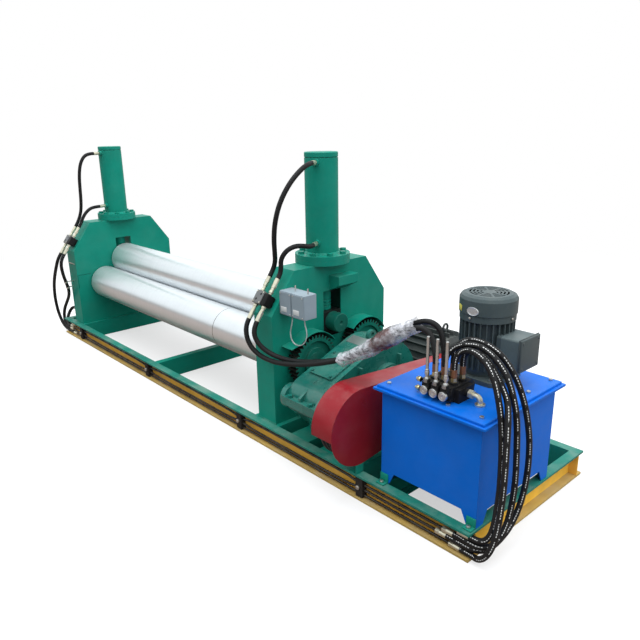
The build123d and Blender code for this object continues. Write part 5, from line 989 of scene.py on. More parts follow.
@dataclass
class HoseSet:
    """All hoses and the wire between the switch boxes."""

    runs: tuple[HoseRun, ...] = (
        HoseRun("hose_drive_top", 0.568, (
            (0.6219, -0.1096, 1.164), (0.6389, -0.139, 1.164), (0.64, -0.182, 1.144),
            (0.633, -0.234, 1.096), (0.62, -0.274, 1.028), (0.604, -0.29, 0.952), (0.588, -0.286, 0.88),
            (0.568, -0.268, 0.82), (0.546, -0.25, 0.778), (0.5317, -0.2513, 0.7442),
            (0.5317, -0.2714, 0.7168))),
        HoseRun("hose_drive_low", 0.279, (
            (0.6219, -0.1096, 0.836), (0.6389, -0.139, 0.836), (0.642, -0.18, 0.846),
            (0.634, -0.216, 0.849), (0.62, -0.244, 0.836), (0.607, -0.258, 0.814), (0.597, -0.262, 0.79),
            (0.59, -0.256, 0.764), (0.5857, -0.2572, 0.7361), (0.5857, -0.2714, 0.7168))),
        HoseRun("hose_idle_top", 0.526, (
            (-1.4188, -0.1227, 1.164), (-1.4111, -0.1538, 1.164), (-1.408, -0.19, 1.15),
            (-1.41, -0.218, 1.104), (-1.421, -0.228, 1.036), (-1.434, -0.228, 0.956),
            (-1.448, -0.226, 0.876), (-1.462, -0.23, 0.806), (-1.4765, -0.2513, 0.7442),
            (-1.4765, -0.2714, 0.7168))),
        HoseRun("hose_idle_low", 0.214, (
            (-1.4188, -0.1227, 0.836), (-1.4106, -0.1557, 0.836), (-1.404, -0.192, 0.83),
            (-1.404, -0.224, 0.806), (-1.411, -0.244, 0.774), (-1.4224, -0.2548, 0.7394),
            (-1.4224, -0.2714, 0.7168))),
        HoseRun("hose_valve_outer", 1.093, (
            (1.3795, -0.268, 0.57), (1.3795, -0.268, 0.596), (1.368, -0.261, 0.621), (1.355, -0.257, 0.645),
            (1.34, -0.256, 0.662), (1.318, -0.259, 0.672), (1.292, -0.268, 0.67), (1.258, -0.282, 0.652),
            (1.198, -0.298, 0.62), (1.112, -0.316, 0.556), (1.012, -0.333, 0.5), (0.898, -0.349, 0.456),
            (0.782, -0.361, 0.424), (0.676, -0.375, 0.408), (0.594, -0.391, 0.422), (0.546, -0.405, 0.464),
            (0.5317, -0.4061, 0.5328), (0.5317, -0.3848, 0.5619))),
        HoseRun("hose_valve_inner", 1.060, (
            (1.3795, -0.222, 0.57), (1.3795, -0.222, 0.594), (1.371, -0.218, 0.614), (1.362, -0.215, 0.649),
            (1.347, -0.217, 0.675), (1.321, -0.223, 0.687), (1.291, -0.232, 0.684), (1.263, -0.243, 0.67),
            (1.234, -0.257, 0.65), (1.182, -0.27, 0.602), (1.1, -0.288, 0.544), (1.004, -0.306, 0.494),
            (0.894, -0.322, 0.456), (0.786, -0.334, 0.43), (0.694, -0.35, 0.422), (0.63, -0.376, 0.442),
            (0.598, -0.402, 0.484), (0.5857, -0.4061, 0.5328), (0.5857, -0.3848, 0.5619))),
        HoseRun("hose_loop_1", 0.800, (
            (1.4525, -0.268, 0.57), (1.4525, -0.268, 0.59), (1.455, -0.264, 0.609), (1.464, -0.262, 0.626),
            (1.483, -0.264, 0.639), (1.511, -0.27, 0.648), (1.547, -0.278, 0.643), (1.579, -0.285, 0.625),
            (1.602, -0.29, 0.598), (1.621, -0.296, 0.566), (1.641, -0.299, 0.5), (1.652, -0.302, 0.44),
            (1.659, -0.305, 0.376), (1.664, -0.309, 0.312), (1.668, -0.316, 0.248), (1.67, -0.326, 0.194),
            (1.671, -0.337, 0.15), (1.668, -0.347, 0.117), (1.656, -0.354, 0.092), (1.632, -0.3565, 0.081),
            (1.602, -0.3565, 0.081)), look=hose_cover),
        HoseRun("hose_loop_2", 0.889, (
            (1.4525, -0.222, 0.57), (1.4525, -0.222, 0.59), (1.457, -0.222, 0.608), (1.468, -0.222, 0.622),
            (1.486, -0.224, 0.631), (1.512, -0.228, 0.631), (1.542, -0.235, 0.62), (1.573, -0.245, 0.602),
            (1.6, -0.255, 0.578), (1.628, -0.266, 0.552), (1.653, -0.281, 0.524), (1.67, -0.302, 0.47),
            (1.682, -0.32, 0.398), (1.69, -0.332, 0.324), (1.693, -0.34, 0.238), (1.694, -0.354, 0.16),
            (1.69, -0.367, 0.1), (1.674, -0.374, 0.056), (1.644, -0.368, 0.025), (1.612, -0.3565, 0.0195),
            (1.572, -0.3565, 0.0195)), look=hose_cover),
        HoseRun("hose_loop_3", 0.986, (
            (1.416, -0.268, 0.57), (1.416, -0.268, 0.594), (1.421, -0.262, 0.613), (1.433, -0.253, 0.632),
            (1.455, -0.246, 0.645), (1.487, -0.243, 0.655), (1.523, -0.244, 0.658), (1.556, -0.247, 0.65),
            (1.589, -0.252, 0.633), (1.615, -0.254, 0.609), (1.635, -0.256, 0.583), (1.651, -0.256, 0.546),
            (1.667, -0.253, 0.486), (1.672, -0.249, 0.42), (1.674, -0.245, 0.352), (1.676, -0.242, 0.27),
            (1.676, -0.248, 0.192), (1.676, -0.266, 0.13), (1.674, -0.298, 0.086), (1.664, -0.334, 0.065),
            (1.636, -0.357, 0.0608), (1.6, -0.3585, 0.0607), (1.572, -0.3565, 0.0605),
            (1.544, -0.3565, 0.0605)), look=hose_cover),
        HoseRun("hose_loop_4", 1.088, (
            (1.416, -0.222, 0.57), (1.416, -0.222, 0.6), (1.422, -0.217, 0.626), (1.438, -0.209, 0.644),
            (1.467, -0.206, 0.657), (1.499, -0.207, 0.659), (1.529, -0.21, 0.656), (1.559, -0.212, 0.646),
            (1.585, -0.21, 0.63), (1.611, -0.204, 0.597), (1.633, -0.195, 0.555), (1.65, -0.182, 0.496),
            (1.66, -0.167, 0.428), (1.664, -0.152, 0.35), (1.664, -0.147, 0.264), (1.663, -0.156, 0.184),
            (1.66, -0.18, 0.118), (1.656, -0.22, 0.07), (1.652, -0.27, 0.048), (1.65, -0.302, 0.0435),
            (1.645, -0.328, 0.0415), (1.63, -0.348, 0.041), (1.604, -0.357, 0.0402), (1.562, -0.3565, 0.04),
            (1.518, -0.3565, 0.04)), look=hose_cover),
        HoseRun("hose_idle_outer", 0.787, (
            (-1.4765, -0.3848, 0.5619), (-1.4765, -0.4061, 0.5328), (-1.504, -0.414, 0.484),
            (-1.556, -0.412, 0.424), (-1.62, -0.404, 0.358), (-1.674, -0.394, 0.28),
            (-1.706, -0.384, 0.196), (-1.71, -0.374, 0.112), (-1.686, -0.364, 0.046),
            (-1.636, -0.359, 0.0205), (-1.558, -0.3565, 0.0195), (-1.504, -0.3565, 0.0195))),
        HoseRun("hose_idle_inner", 0.706, (
            (-1.4224, -0.3848, 0.5619), (-1.4224, -0.4061, 0.5328), (-1.426, -0.414, 0.49),
            (-1.44, -0.404, 0.43), (-1.46, -0.384, 0.37), (-1.486, -0.364, 0.312), (-1.53, -0.354, 0.262),
            (-1.59, -0.35, 0.214), (-1.644, -0.352, 0.16), (-1.67, -0.354, 0.106), (-1.66, -0.356, 0.062),
            (-1.628, -0.3575, 0.042), (-1.592, -0.3565, 0.04), (-1.554, -0.3565, 0.04))),
        HoseRun("hose_union", 0.235, (
            (-1.5702, -0.305, 0.165), (-1.6022, -0.305, 0.165), (-1.628, -0.312, 0.152),
            (-1.642, -0.326, 0.124), (-1.638, -0.342, 0.094), (-1.614, -0.354, 0.07),
            (-1.576, -0.3565, 0.0605), (-1.542, -0.3565, 0.0605)), lay=Lay.LOOSE),
        HoseRun("switch_wire", 0.293, (
            (0.6549, -0.258, 0.57), (0.6549, -0.258, 0.553), (0.648, -0.259, 0.526), (0.64, -0.26, 0.498),
            (0.647, -0.261, 0.47), (0.672, -0.262, 0.454), (0.704, -0.262, 0.456), (0.732, -0.261, 0.476),
            (0.745, -0.26, 0.506), (0.74, -0.259, 0.534), (0.7299, -0.258, 0.553),
            (0.7299, -0.258, 0.57)), diameter=0.005, look=wire_sleeve, slot="wire_white"),
    )

    def build(self) -> list[Piece]:
        """Makes every cord."""
        return [run.build() for run in self.runs]


@dataclass
class WrapFilm:
    """Clear film gathered round the two hoses between the valve and the drive stand."""

    points: tuple[Point, ...] = (
        (1.292, -0.250, 0.677), (1.258, -0.264, 0.659), (1.198, -0.282, 0.6185),
        (1.112, -0.301, 0.554), (1.056, -0.3115, 0.523), (1.006, -0.320, 0.496),
    )
    half_height: float = 0.024
    half_width: float = 0.035
    gathered: float = 0.86
    bulge: float = 0.40
    bulge_at: float = 0.38
    bulge_reach: float = 0.26
    swell: Pair = (0.16, 14.0)
    crease: Pair = (0.30, 34.0)
    crease_start: float = 7.0
    fold: Pair = (0.13, 85.0)
    hem: float = 8.0
    flare: float = 0.12
    ragged: Pair = (0.010, 90.0)
    fineness: tuple[int, int] = (12, 14)
    flat: Pair = (0.235, 0.39)

    def crumple(self, spot: Vector, path: Sequence[Vector], index: int) -> Vector:
        """Crumpled place of a point of the smooth sleeve.

        Args:
            spot: the point.
            path: points of the sleeve's middle line.
            index: number of the nearest of them.

        Returns:
            The new place.
        """
        tangent = direction(path, index)
        across = tangent.cross(Vector(Facing.UP.value)).normalized()
        out = spot - path[index]
        out += across * out.dot(across) * (self.half_width / self.half_height - 1.0)
        swell = self.swell[0] * noise.noise(spot * self.swell[1])
        start = Vector((self.crease_start, 0.0, 0.0))
        crease = self.crease[0] * abs(noise.noise(spot * self.crease[1] + start))
        fold = self.fold[0] * abs(noise.noise(spot * self.fold[1]))
        near_end = max(0.0, 1.0 - min(index, len(path) - 1 - index) / self.hem)
        ragged = self.ragged[0] * noise.noise(out * self.ragged[1]) * near_end
        along = (index / (len(path) - 1) - self.bulge_at) / self.bulge_reach
        bulge = self.bulge * math.exp(-along * along)
        wide = self.gathered + swell + crease + fold + self.flare * near_end + bulge
        return path[index] + out * wide + tangent * ragged

    def build(self) -> Piece:
        """Returns:
            The film.
        """
        mesh, path = swept("wrap_film", self.points, self.half_height, *self.fineness)
        around = len(mesh.vertices) // len(path)
        for number, vert in enumerate(mesh.vertices):
            vert.co = self.crumple(vert.co.copy(), path, number // around)
        film = declare("wrap_film", mesh, wrap_film, "frame")
        return film


@dataclass
class LineDress:
    """Thin steel lines along the front rail, sprung apart between their clamps, and the clamps' bolts."""

    y: float = -0.3565
    radius: float = 0.0050
    facets: int = 3
    levels: tuple[float, ...] = (0.0195, 0.040, 0.0605, 0.081)
    lefts: tuple[float, ...] = (-1.462, -1.512, -1.500, -1.470)
    rights: tuple[float, ...] = (1.530, 1.476, 1.502, 1.560)
    spring: tuple[float, ...] = (-0.001, -0.008, 0.0095, 0.003)
    bend: Pair = (0.028, 0.080)
    clamps: tuple[float, ...] = (-1.361, -0.474, 0.389, 1.136)
    clamp_front: float = -0.3685
    clamp_middle: float = 0.05025
    bolt: Point = (0.0162, 0.0092, 0.001)

    def route(self, number: int) -> list[Point]:
        """Route of one pipe.

        Args:
            number: 0 for the lowest pipe to 3 for the highest.

        Returns:
            Control points of its middle line.
        """
        level, sprung = self.levels[number], self.levels[number] + self.spring[number]
        straight, bent = self.bend
        spots = [(self.lefts[number], level)]
        for left, right in zip(self.clamps, self.clamps[1:]):
            spots += [(left - straight, level), (left + straight, level)]
            spots += [(left + bent, sprung), (right - bent, sprung)]
        last = self.clamps[-1]
        spots += [(x, level) for x in (last - straight, last + straight, self.rights[number])]
        return [(x, self.y, z) for x, z in spots]

    def build(self) -> list[Piece]:
        """Makes the pipes, in place of the solid model's straight ones, and bright heads on the clamps.

        Returns:
            The pieces.
        """
        solid = Solid()
        for number in range(len(self.levels)):
            mesh, _ = swept(f"steel_line_{number + 1}", self.route(number), self.radius, self.facets)
            solid.bm.from_mesh(mesh)
            bpy.data.meshes.remove(mesh)
        close_ends(solid.bm)
        pipes = solid.finish("steel_line_pipes", line_steel, "dark_steel")
        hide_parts("steel_lines")
        heads = place(Facing.FRONT, *((x, self.clamp_front, self.clamp_middle) for x in self.clamps))
        return [pipes, Solid().hexagon(heads, *self.bolt).finish("clamp_bolts", zinc_plate, "zinc")]


@dataclass
class RollDress:
    """Painted end of the upper roll's journal, past the drive stand, in a darker green that paints its shade.
    """

    axis: Pair = (0.0, 0.488)
    start: float = 0.606
    end: float = 0.674
    radius: float = 0.0425
    chamfer: float = 0.003
    centre_hole: float = 0.009
    steps: int = 48

    def build(self) -> list[Piece]:
        """Makes the journal's end.

        Returns:
            The end, which turns and lifts with the upper roll.
        """
        length = self.end - self.start
        profile = [(0.0, 0.0), (self.radius, 0.0), (self.radius, length - self.chamfer)]
        profile += [(self.radius - self.chamfer, length), (self.centre_hole, length)]
        profile += [(0.0, length - self.centre_hole)]
        solid = Solid().turned(place(Facing.RIGHT, (self.start, *self.axis)), profile, self.steps)
        return [solid.finish("upper_roll_journal_end", journal_shaded_green, "paint_green", "upper_roll")]


@dataclass
class ReducerDress:
    """Bare riveted plate on the slope of the reducer and hexagon screws round its bearing caps."""

    plate_centre: Point = (0.8197, -0.0505, 0.4566)
    plate_size: Point = (0.092, 0.048, 0.0016)
    plate_sunk: float = 0.0008
    plate_edge: float = 0.0005
    rivet_inset: float = 0.006
    rivet_rise: float = 0.0007
    rivet_radius: float = 0.0026
    slope: float = math.radians(20.2)
    sides: Pair = (0.726, 0.966)
    shafts: tuple[Pair, ...] = ((0.0, 0.070), (-0.200, 0.044), (-0.350, 0.032))
    shaft_z: float = 0.28167
    screws: int = 6
    screw_size: Pair = (0.010, 0.005)

    def build(self) -> list[Piece]:
        """Makes the pieces on the reducer.

        Returns:
            The pieces.
        """
        slope = place((0.0, -math.sin(self.slope), math.cos(self.slope)), self.plate_centre)
        wide, tall = (side - 2 * self.rivet_inset for side in self.plate_size[:2])
        plate = Solid().block(shift(slope, 0.0, 0.0, -self.plate_sunk), self.plate_size, self.plate_edge)
        plate.corner_screws(shift(slope, 0.0, 0.0, self.rivet_rise), wide, tall, self.rivet_radius)
        screws = Solid()
        turns = [2 * math.pi * (index + 0.5) / self.screws for index in range(self.screws)]
        spots = [(y + ring * math.cos(turn), self.shaft_z + ring * math.sin(turn))
                 for (y, ring), turn in product(self.shafts, turns)]
        for x, facing in zip(self.sides, (Facing.LEFT, Facing.RIGHT)):
            screws.hexagon(place(facing, *((x, *spot) for spot in spots)), *self.screw_size)
        return [
            plate.finish("reducer_plate", dull_plate, "zinc"),
            screws.finish("bearing_cap_screws", machine_green, "paint_green"),
        ]


@dataclass
class PumpDress:
    """Oval plate, tag and screws on the pump motor, and the lid of its terminal box."""

    axis: Pair = (1.400, -0.015)
    cover_radius: float = 0.097
    oval_centre: float = 0.7154
    oval_aside: float = 0.003
    oval_half: Pair = (0.022, 0.0145)
    oval_steps: int = 40
    screw_z: float = 0.690
    screw_radius: float = 0.0042
    screw_turns: tuple[float, ...] = (-94.0, -4.0, 86.0, 176.0)
    tag_turn: float = -126.0
    tag_size: Point = (0.020, 0.025, 0.0013)
    tag_sunk: float = 0.0009
    tag_edge: float = 0.0004
    box_low: Point = (1.474, -0.071, 0.533)
    box_high: Point = (1.560, 0.041, 0.639)
    lid_lap: float = 0.004
    rim_height: float = 0.003
    rim_edge: float = 0.0012
    lid_height: float = 0.0075
    lid_edge: float = 0.003
    lid_screw_inset: float = 0.011
    lid_screw_rise: float = 0.010

    def on_cover(self, degrees: float, z: float, sunk: float = 0.0) -> list[Matrix]:
        """Local frame on the fan cover, looking outwards.

        Args:
            degrees: turn about the motor's axis.
            z: height above the floor.
            sunk: depth below the surface.

        Returns:
            The frame, as a list of one.
        """
        turn, reach = math.radians(degrees), self.cover_radius - sunk
        out = (math.cos(turn), math.sin(turn), 0.0)
        spot = (self.axis[0] + reach * out[0], self.axis[1] + reach * out[1], z)
        return place(out, spot, level=Facing.UP)

    def oval(self) -> Solid:
        """Oval plate with a raised rim.

        Returns:
            Its mesh.
        """
        reach, half = self.oval_half
        profile = [(0.0, 0.0006), (reach - 0.004, 0.0006), (reach - 0.003, 0.0016), (reach - 0.001, 0.0016)]
        profile += [(reach, 0.0004), (reach, -0.006), (0.0, -0.006)]
        solid = Solid().turned([Matrix.Identity(4)], profile, self.oval_steps)
        spot = (self.axis[0] + self.oval_aside, self.axis[1] - self.cover_radius, self.oval_centre)
        stretched = place(Facing.FRONT, spot)[0] @ Matrix.Diagonal((1.0, half / reach, 1.0, 1.0))
        bmesh.ops.transform(solid.bm, matrix=stretched, verts=solid.bm.verts)
        return solid

    def lid(self) -> Solid:
        """Lid of the terminal box with its rim and four screws.

        Returns:
            Its mesh.
        """
        low, high = Vector(self.box_low), Vector(self.box_high)
        middle, lap, inset = (low + high) / 2, self.lid_lap, 2 * self.lid_screw_inset
        wide, tall = high.y - low.y + lap, high.z - low.z + lap
        at = place(Facing.RIGHT, (high.x - lap, middle.y, middle.z), level=Facing.BACK)
        solid = Solid().block(at, (wide + lap, tall + lap, lap), self.rim_edge)
        solid.block(shift(at, 0.0, 0.0, self.rim_height), (wide, tall, self.lid_height), self.lid_edge, 3)
        top = shift(at, 0.0, 0.0, self.lid_screw_rise)
        return solid.corner_screws(top, wide - inset, tall - inset, self.screw_radius)

    def build(self) -> list[Piece]:
        """Makes the pieces on the pump motor.

        Returns:
            The pieces.
        """
        screws = [at for turn in self.screw_turns for at in self.on_cover(turn, self.screw_z)]
        spot = self.on_cover(self.tag_turn, self.oval_centre, self.tag_sunk)
        tag = Solid().block(spot, self.tag_size, self.tag_edge)
        return [
            self.oval().finish("pump_motor_plate", plate_silver, "zinc"),
            Solid().screw(screws, self.screw_radius).finish("fan_cover_screws", zinc_plate, "zinc"),
            self.lid().finish("terminal_box_lid", box_coat, "motor_grey"),
            tag.finish("fan_cover_tag", tag_yellow, "paint_yellow"),
        ]


@dataclass
class TankDress:
    """Bolted lugs that hold the tank's front legs to the base."""

    x: Pair = (1.213, 1.607)
    front: float = -0.333
    rail_top: float = 0.100
    width: float = 0.034
    reach: float = 0.028
    rise: float = 0.034
    sheet: float = 0.005
    rounding: float = 0.001
    bolt: Pair = (0.013, 0.007)
    bolt_out: float = 0.002

    def build(self) -> list[Piece]:
        """Makes the angle lugs and their bolts.

        Returns:
            The pieces.
        """
        middles = (self.x[0] + self.width / 2, self.x[1] - self.width / 2)
        foot_y, back_y = self.front - self.reach / 2, self.front - self.sheet / 2
        feet, backs = (place(Facing.UP, *((x, y, self.rail_top) for x in middles)) for y in (foot_y, back_y))
        lugs = Solid().block(feet, (self.width, self.reach, self.sheet), self.rounding)
        lugs.block(backs, (self.width, self.sheet, self.rise), self.rounding)
        bolts = Solid().hexagon(shift(feet, 0.0, -self.bolt_out, self.sheet), *self.bolt)
        lug_piece = lugs.finish("tank_lugs", green_paint, "paint_green")
        return [lug_piece, bolts.finish("tank_lug_bolts", zinc_plate, "zinc")]


@dataclass
class ValveDress:
    """Plated caps, end plugs and tie nuts of the hand valve, and its plain levers."""

    sections: Point = (1.3795, 1.416, 1.4525)
    cap_front: float = -0.3275
    cap_radius: float = 0.0152
    cap_steps: int = 32
    spool_z: float = 0.495
    lever_y: float = -0.310
    lever_z: float = 0.530
    lever_length: float = 0.142
    lever_radius: float = 0.0051
    lever_chamfer: float = 0.001
    lever_steps: int = 24
    ball_radius: float = 0.009
    ball_steps: int = 8
    nut_rise: float = 0.013
    nut: Pair = (0.0140, 0.013)
    collar: Pair = (0.0068, 0.0075)
    collar_steps: int = 18
    chamfer: Pair = (0.0012, 0.0015)
    nut_face: float = 1.3433
    tie_nut: Pair = (0.017, 0.012)
    tie_rod: Pair = (0.0052, 0.0185)
    tie_steps: int = 16
    tie_rods: tuple[Pair, ...] = ((-0.292, 0.511), (-0.297, 0.482), (-0.200, 0.503))

    def caps(self) -> Solid:
        """Turned caps on the spools' front ends.

        Returns:
            Their mesh.
        """
        reach = self.cap_radius
        profile = [(0.0, -0.0016), (0.0035, -0.0016), (0.0042, 0.0), (reach - 0.0055, 0.0)]
        profile += [(reach - 0.005, -0.001), (reach - 0.0038, -0.001), (reach - 0.0033, 0.0)]
        profile += [(reach - 0.0014, 0.0), (reach, -0.0016), (reach, -0.0095), (reach - 0.0012, -0.0095)]
        profile += [(reach - 0.0012, -0.0128), (0.0, -0.0128)]
        places = place(Facing.FRONT, *((x, self.cap_front, self.spool_z) for x in self.sections))
        return Solid().turned(places, profile, self.cap_steps)

    def lever(self, number: int) -> Piece:
        """Ball, plain rod, nut and collar of a lever.

        Args:
            number: 1, 2 or 3.

        Returns:
            The lever, in place of the solid one.
        """
        radius, top, ball = self.lever_radius, self.lever_length, self.ball_radius
        last = math.pi / 2 + math.acos(radius / ball)
        turns = [last * step / self.ball_steps - math.pi / 2 for step in range(self.ball_steps + 1)]
        profile = [(ball * math.cos(turn), ball * math.sin(turn)) for turn in turns]
        profile += [(radius, top - self.lever_chamfer), (radius - self.lever_chamfer, top), (0.0, top)]
        foot = place(Facing.UP, (self.sections[number - 1], self.lever_y, self.lever_z))
        nut = shift(foot, 0.0, 0.0, self.nut_rise)
        solid = Solid().turned(foot, profile, self.lever_steps).hexagon(nut, *self.nut)
        solid.pin(shift(nut, 0.0, 0.0, self.nut[1]), *self.collar, self.collar_steps, self.chamfer)
        name = f"lever_{number}"
        piece = solid.finish(f"{name}_rod", bright_chrome, "chrome", name)
        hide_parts(name)
        return piece

    def build(self) -> list[Piece]:
        """Makes the pieces on the valve.

        Returns:
            The pieces.
        """
        ties = place(Facing.LEFT, *((self.nut_face, *spot) for spot in self.tie_rods))
        nuts = Solid().hexagon(ties, *self.tie_nut)
        nuts.pin(ties, *self.tie_rod, self.tie_steps, self.chamfer)
        return [
            self.caps().finish("spool_caps", bright_chrome, "chrome"),
            nuts.finish("valve_tie_nuts", brass, "zinc"),
            *(self.lever(number) for number in (1, 2, 3)),
        ]


@dataclass
class SwitchDress:
    """Bare pale square at the lower left of each switch box's lid, and screws in the lid's corners."""

    lefts: Pair = (0.6174, 0.6924)
    width: float = 0.075
    front: float = -0.294
    low: float = 0.582
    high: float = 0.679
    square: Point = (0.036, 0.021, 0.0014)
    square_corner: Pair = (0.011, 0.014)
    square_sunk: float = 0.0006
    square_edge: float = 0.0005
    screw_inset: float = 0.009
    screw_radius: float = 0.0028

    def build(self) -> list[Piece]:
        """Makes the pieces on the switch boxes.

        Returns:
            The pieces.
        """
        wide, tall = self.width, self.high - self.low
        middles = ((left + wide / 2, self.front, self.low + tall / 2) for left in self.lefts)
        lids = place(Facing.FRONT, *middles)
        aside, above = (corner + side / 2 for corner, side in zip(self.square_corner, self.square))
        corners = shift(lids, aside - wide / 2, above - tall / 2, -self.square_sunk)
        squares = Solid().block(corners, self.square, self.square_edge)
        inset = 2 * self.screw_inset
        screws = Solid().corner_screws(lids, wide - inset, tall - inset, self.screw_radius)
        square_piece = squares.finish("switch_squares", pale_plastic, "switch_grey")
        return [square_piece, screws.finish("switch_screws", zinc_plate, "zinc")]


@dataclass
class LockDress:
    """Lock valves on the front shoulders: port block, check housing, nipples and screws."""

    middles: Pair = (-1.44945, 0.5587)
    shoulder: Pair = (-0.30145, 0.61982)
    normal: Point = (0.0, -0.8068, 0.5908)
    width: float = 0.076
    length: float = 0.056
    low: float = 0.012
    high: float = 0.051
    split: float = 0.011
    foot_inset: Pair = (0.012, 0.014)
    housing_inset: Pair = (0.006, 0.003)
    housing_aside: float = -0.004
    lap: float = 0.001
    block_edge: float = 0.0015
    foot_edge: float = 0.001
    housing_edge: float = 0.002
    plugs: tuple[Pair, ...] = ((-0.004, 0.013), (-0.021, -0.011))
    plug_profile: tuple[Pair, ...] = (
        (0.0, 0.0), (0.0046, 0.0), (0.0046, 0.0006), (0.0028, 0.0007), (0.0, 0.0002),
    )
    plug_steps: int = 16
    port_step: float = 0.027
    port_height: float = 0.033
    port_sunk: float = 0.004
    port_end: float = 0.0545
    stem_radius: float = 0.0078
    stem_steps: int = 18
    nut: Pair = (0.019, 0.009)
    nut_rise: float = 0.006
    screw_middle: float = -0.0135
    screw_spread: Pair = (0.039, 0.044)
    screw_radius: float = 0.0031

    def housings(self, seats: Places) -> Solid:
        """Black check housings, foot plates and sunk plugs.

        Args:
            seats: local frames on the shoulders.

        Returns:
            Their mesh.
        """
        half, tall = self.width / 2, self.high - self.low
        foot = (self.width - self.foot_inset[0], self.length - self.foot_inset[1], self.low + self.lap)
        depth, height = self.length - self.housing_inset[0], tall - self.housing_inset[1]
        solid = Solid().block(seats, foot, self.foot_edge)
        housing = (half - self.split + self.lap, depth, height)
        middle = (self.split + half) / 2
        solid.block(shift(seats, middle, self.housing_aside, self.low), housing, self.housing_edge)
        for spot in self.plugs:
            solid.turned(shift(seats, *spot, self.high), self.plug_profile, self.plug_steps)
        return solid

    def nipples(self, seats: Places) -> Solid:
        """Hexagon nipples towards the hose ends, and the blocks' socket screws.

        Args:
            seats: local frames on the shoulders.

        Returns:
            Their mesh.
        """
        start = self.length / 2 - self.port_sunk
        screws = shift(seats, self.screw_middle, 0.0, self.high)
        solid = Solid().corner_screws(screws, *self.screw_spread, self.screw_radius)
        for at, side, end in product(seats, (-1, 1), (-1, 1)):
            spot = at @ Vector((side * self.port_step, end * start, self.port_height))
            out = place(at.to_3x3() @ Vector((0.0, end, 0.0)), spot)
            solid.pin(out, self.stem_radius, self.port_end - start, self.stem_steps)
            solid.hexagon(shift(out, 0.0, 0.0, self.nut_rise), *self.nut)
        return solid

    def build(self) -> list[Piece]:
        """Makes both lock valves.

        Returns:
            The pieces, of which the blocks stand for the solid model's.
        """
        seats = place(self.normal, *((x, *self.shoulder) for x in self.middles))
        half = self.width / 2
        size = (half + self.split, self.length, self.high - self.low)
        blocks = Solid().block(shift(seats, (self.split - half) / 2, 0.0, self.low), size, self.block_edge)
        piece = blocks.finish("lock_port_blocks", block_grey, "dark_steel")
        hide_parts("lock_valves")
        return [
            piece,
            self.housings(seats).finish("lock_check_housings", housing_black, "valve_black"),
            self.nipples(seats).finish("lock_nipples", nipple_zinc, "zinc"),
        ]


@dataclass
class StandDress:
    """Welds at the stands' feet, and the seam, the strap and the hose clips of the idle stand."""

    idle: Pair = (-1.5082, -1.3907)
    drive: Pair = (0.4999, 0.6174)
    half_depth: float = 0.335
    rail_top: float = 0.100
    bead: float = 0.0042
    strap: Point = (-1.4562, -0.335, 0.492)
    strap_size: Point = (0.104, 0.006, 0.003)
    strap_edge: float = 0.0008
    clips: tuple[tuple[Point, Point], ...] = (
        ((-1.4578, -0.3866, 0.3779), (-0.3348, 0.3013, -0.8928)),
        ((-1.4743, -0.3730, 0.3381), (-0.4048, 0.2931, -0.8661)),
    )
    hose_radius: float = 0.0102
    band: Pair = (0.0016, 0.0042)
    band_steps: int = 28
    stud_radius: float = 0.0034
    stud_steps: int = 14
    stud_sunk: float = 0.001
    seam_corner: Pair = (-0.330, 0.420)
    seam_reach: Pair = (-0.246, 0.336)
    seam_width: float = 0.0026
    seam_height: float = 0.0006
    seam_sunk: float = 0.0002
    seam_edge: float = 0.0002

    def welds(self) -> Solid:
        """Beads where the stands meet the rails.

        Returns:
            Their mesh.
        """
        solid = Solid()
        for (left, right), y in product((self.idle, self.drive), (-self.half_depth, self.half_depth)):
            solid.bead((left, y, self.rail_top), (right, y, self.rail_top), self.bead)
        return solid

    def hose_clips(self) -> Solid:
        """Strap across the idle stand's front edge and two banded clips that hold a hose off it.

        Returns:
            Their mesh.
        """
        solid = Solid().block(place(Facing.FRONT, self.strap), self.strap_size, self.strap_edge)
        inner, outer, half = self.hose_radius, self.hose_radius + self.band[0], self.band[1]
        ring = [(inner, -half), (outer, -half), (outer, half), (inner, half), (inner, -half)]
        for spot, along in self.clips:
            root = Vector((spot[0], self.stud_sunk - self.half_depth, spot[2]))
            toward = Vector(spot) - root
            solid.turned(place(along, spot), ring, self.band_steps)
            length = toward.length - self.hose_radius
            solid.pin(place(toward, root), self.stud_radius, length, self.stud_steps)
        return solid

    def seam(self) -> Solid:
        """Fine seam on the idle stand's inner face.

        Returns:
            Its mesh.
        """
        x, wide, high = self.idle[1] - self.seam_sunk, self.seam_width, self.seam_height
        (front, top), (rear, low) = self.seam_corner, self.seam_reach
        spots = (x, (front + rear) / 2, top), (x, front, (top + low) / 2)
        level, upright = place(Facing.RIGHT, *spots, level=Facing.BACK)
        solid = Solid().block([level], (rear - front, wide, high), self.seam_edge)
        return solid.block([upright], (wide, top - low, high), self.seam_edge)

    def build(self) -> list[Piece]:
        """Makes the pieces on the stands.

        Returns:
            The pieces.
        """
        return [
            self.welds().finish("stand_welds", weld_green, "paint_green"),
            self.hose_clips().finish("hose_clips", zinc_plate, "zinc"),
            self.seam().finish("idle_stand_seam", seam_green, "paint_green"),
        ]


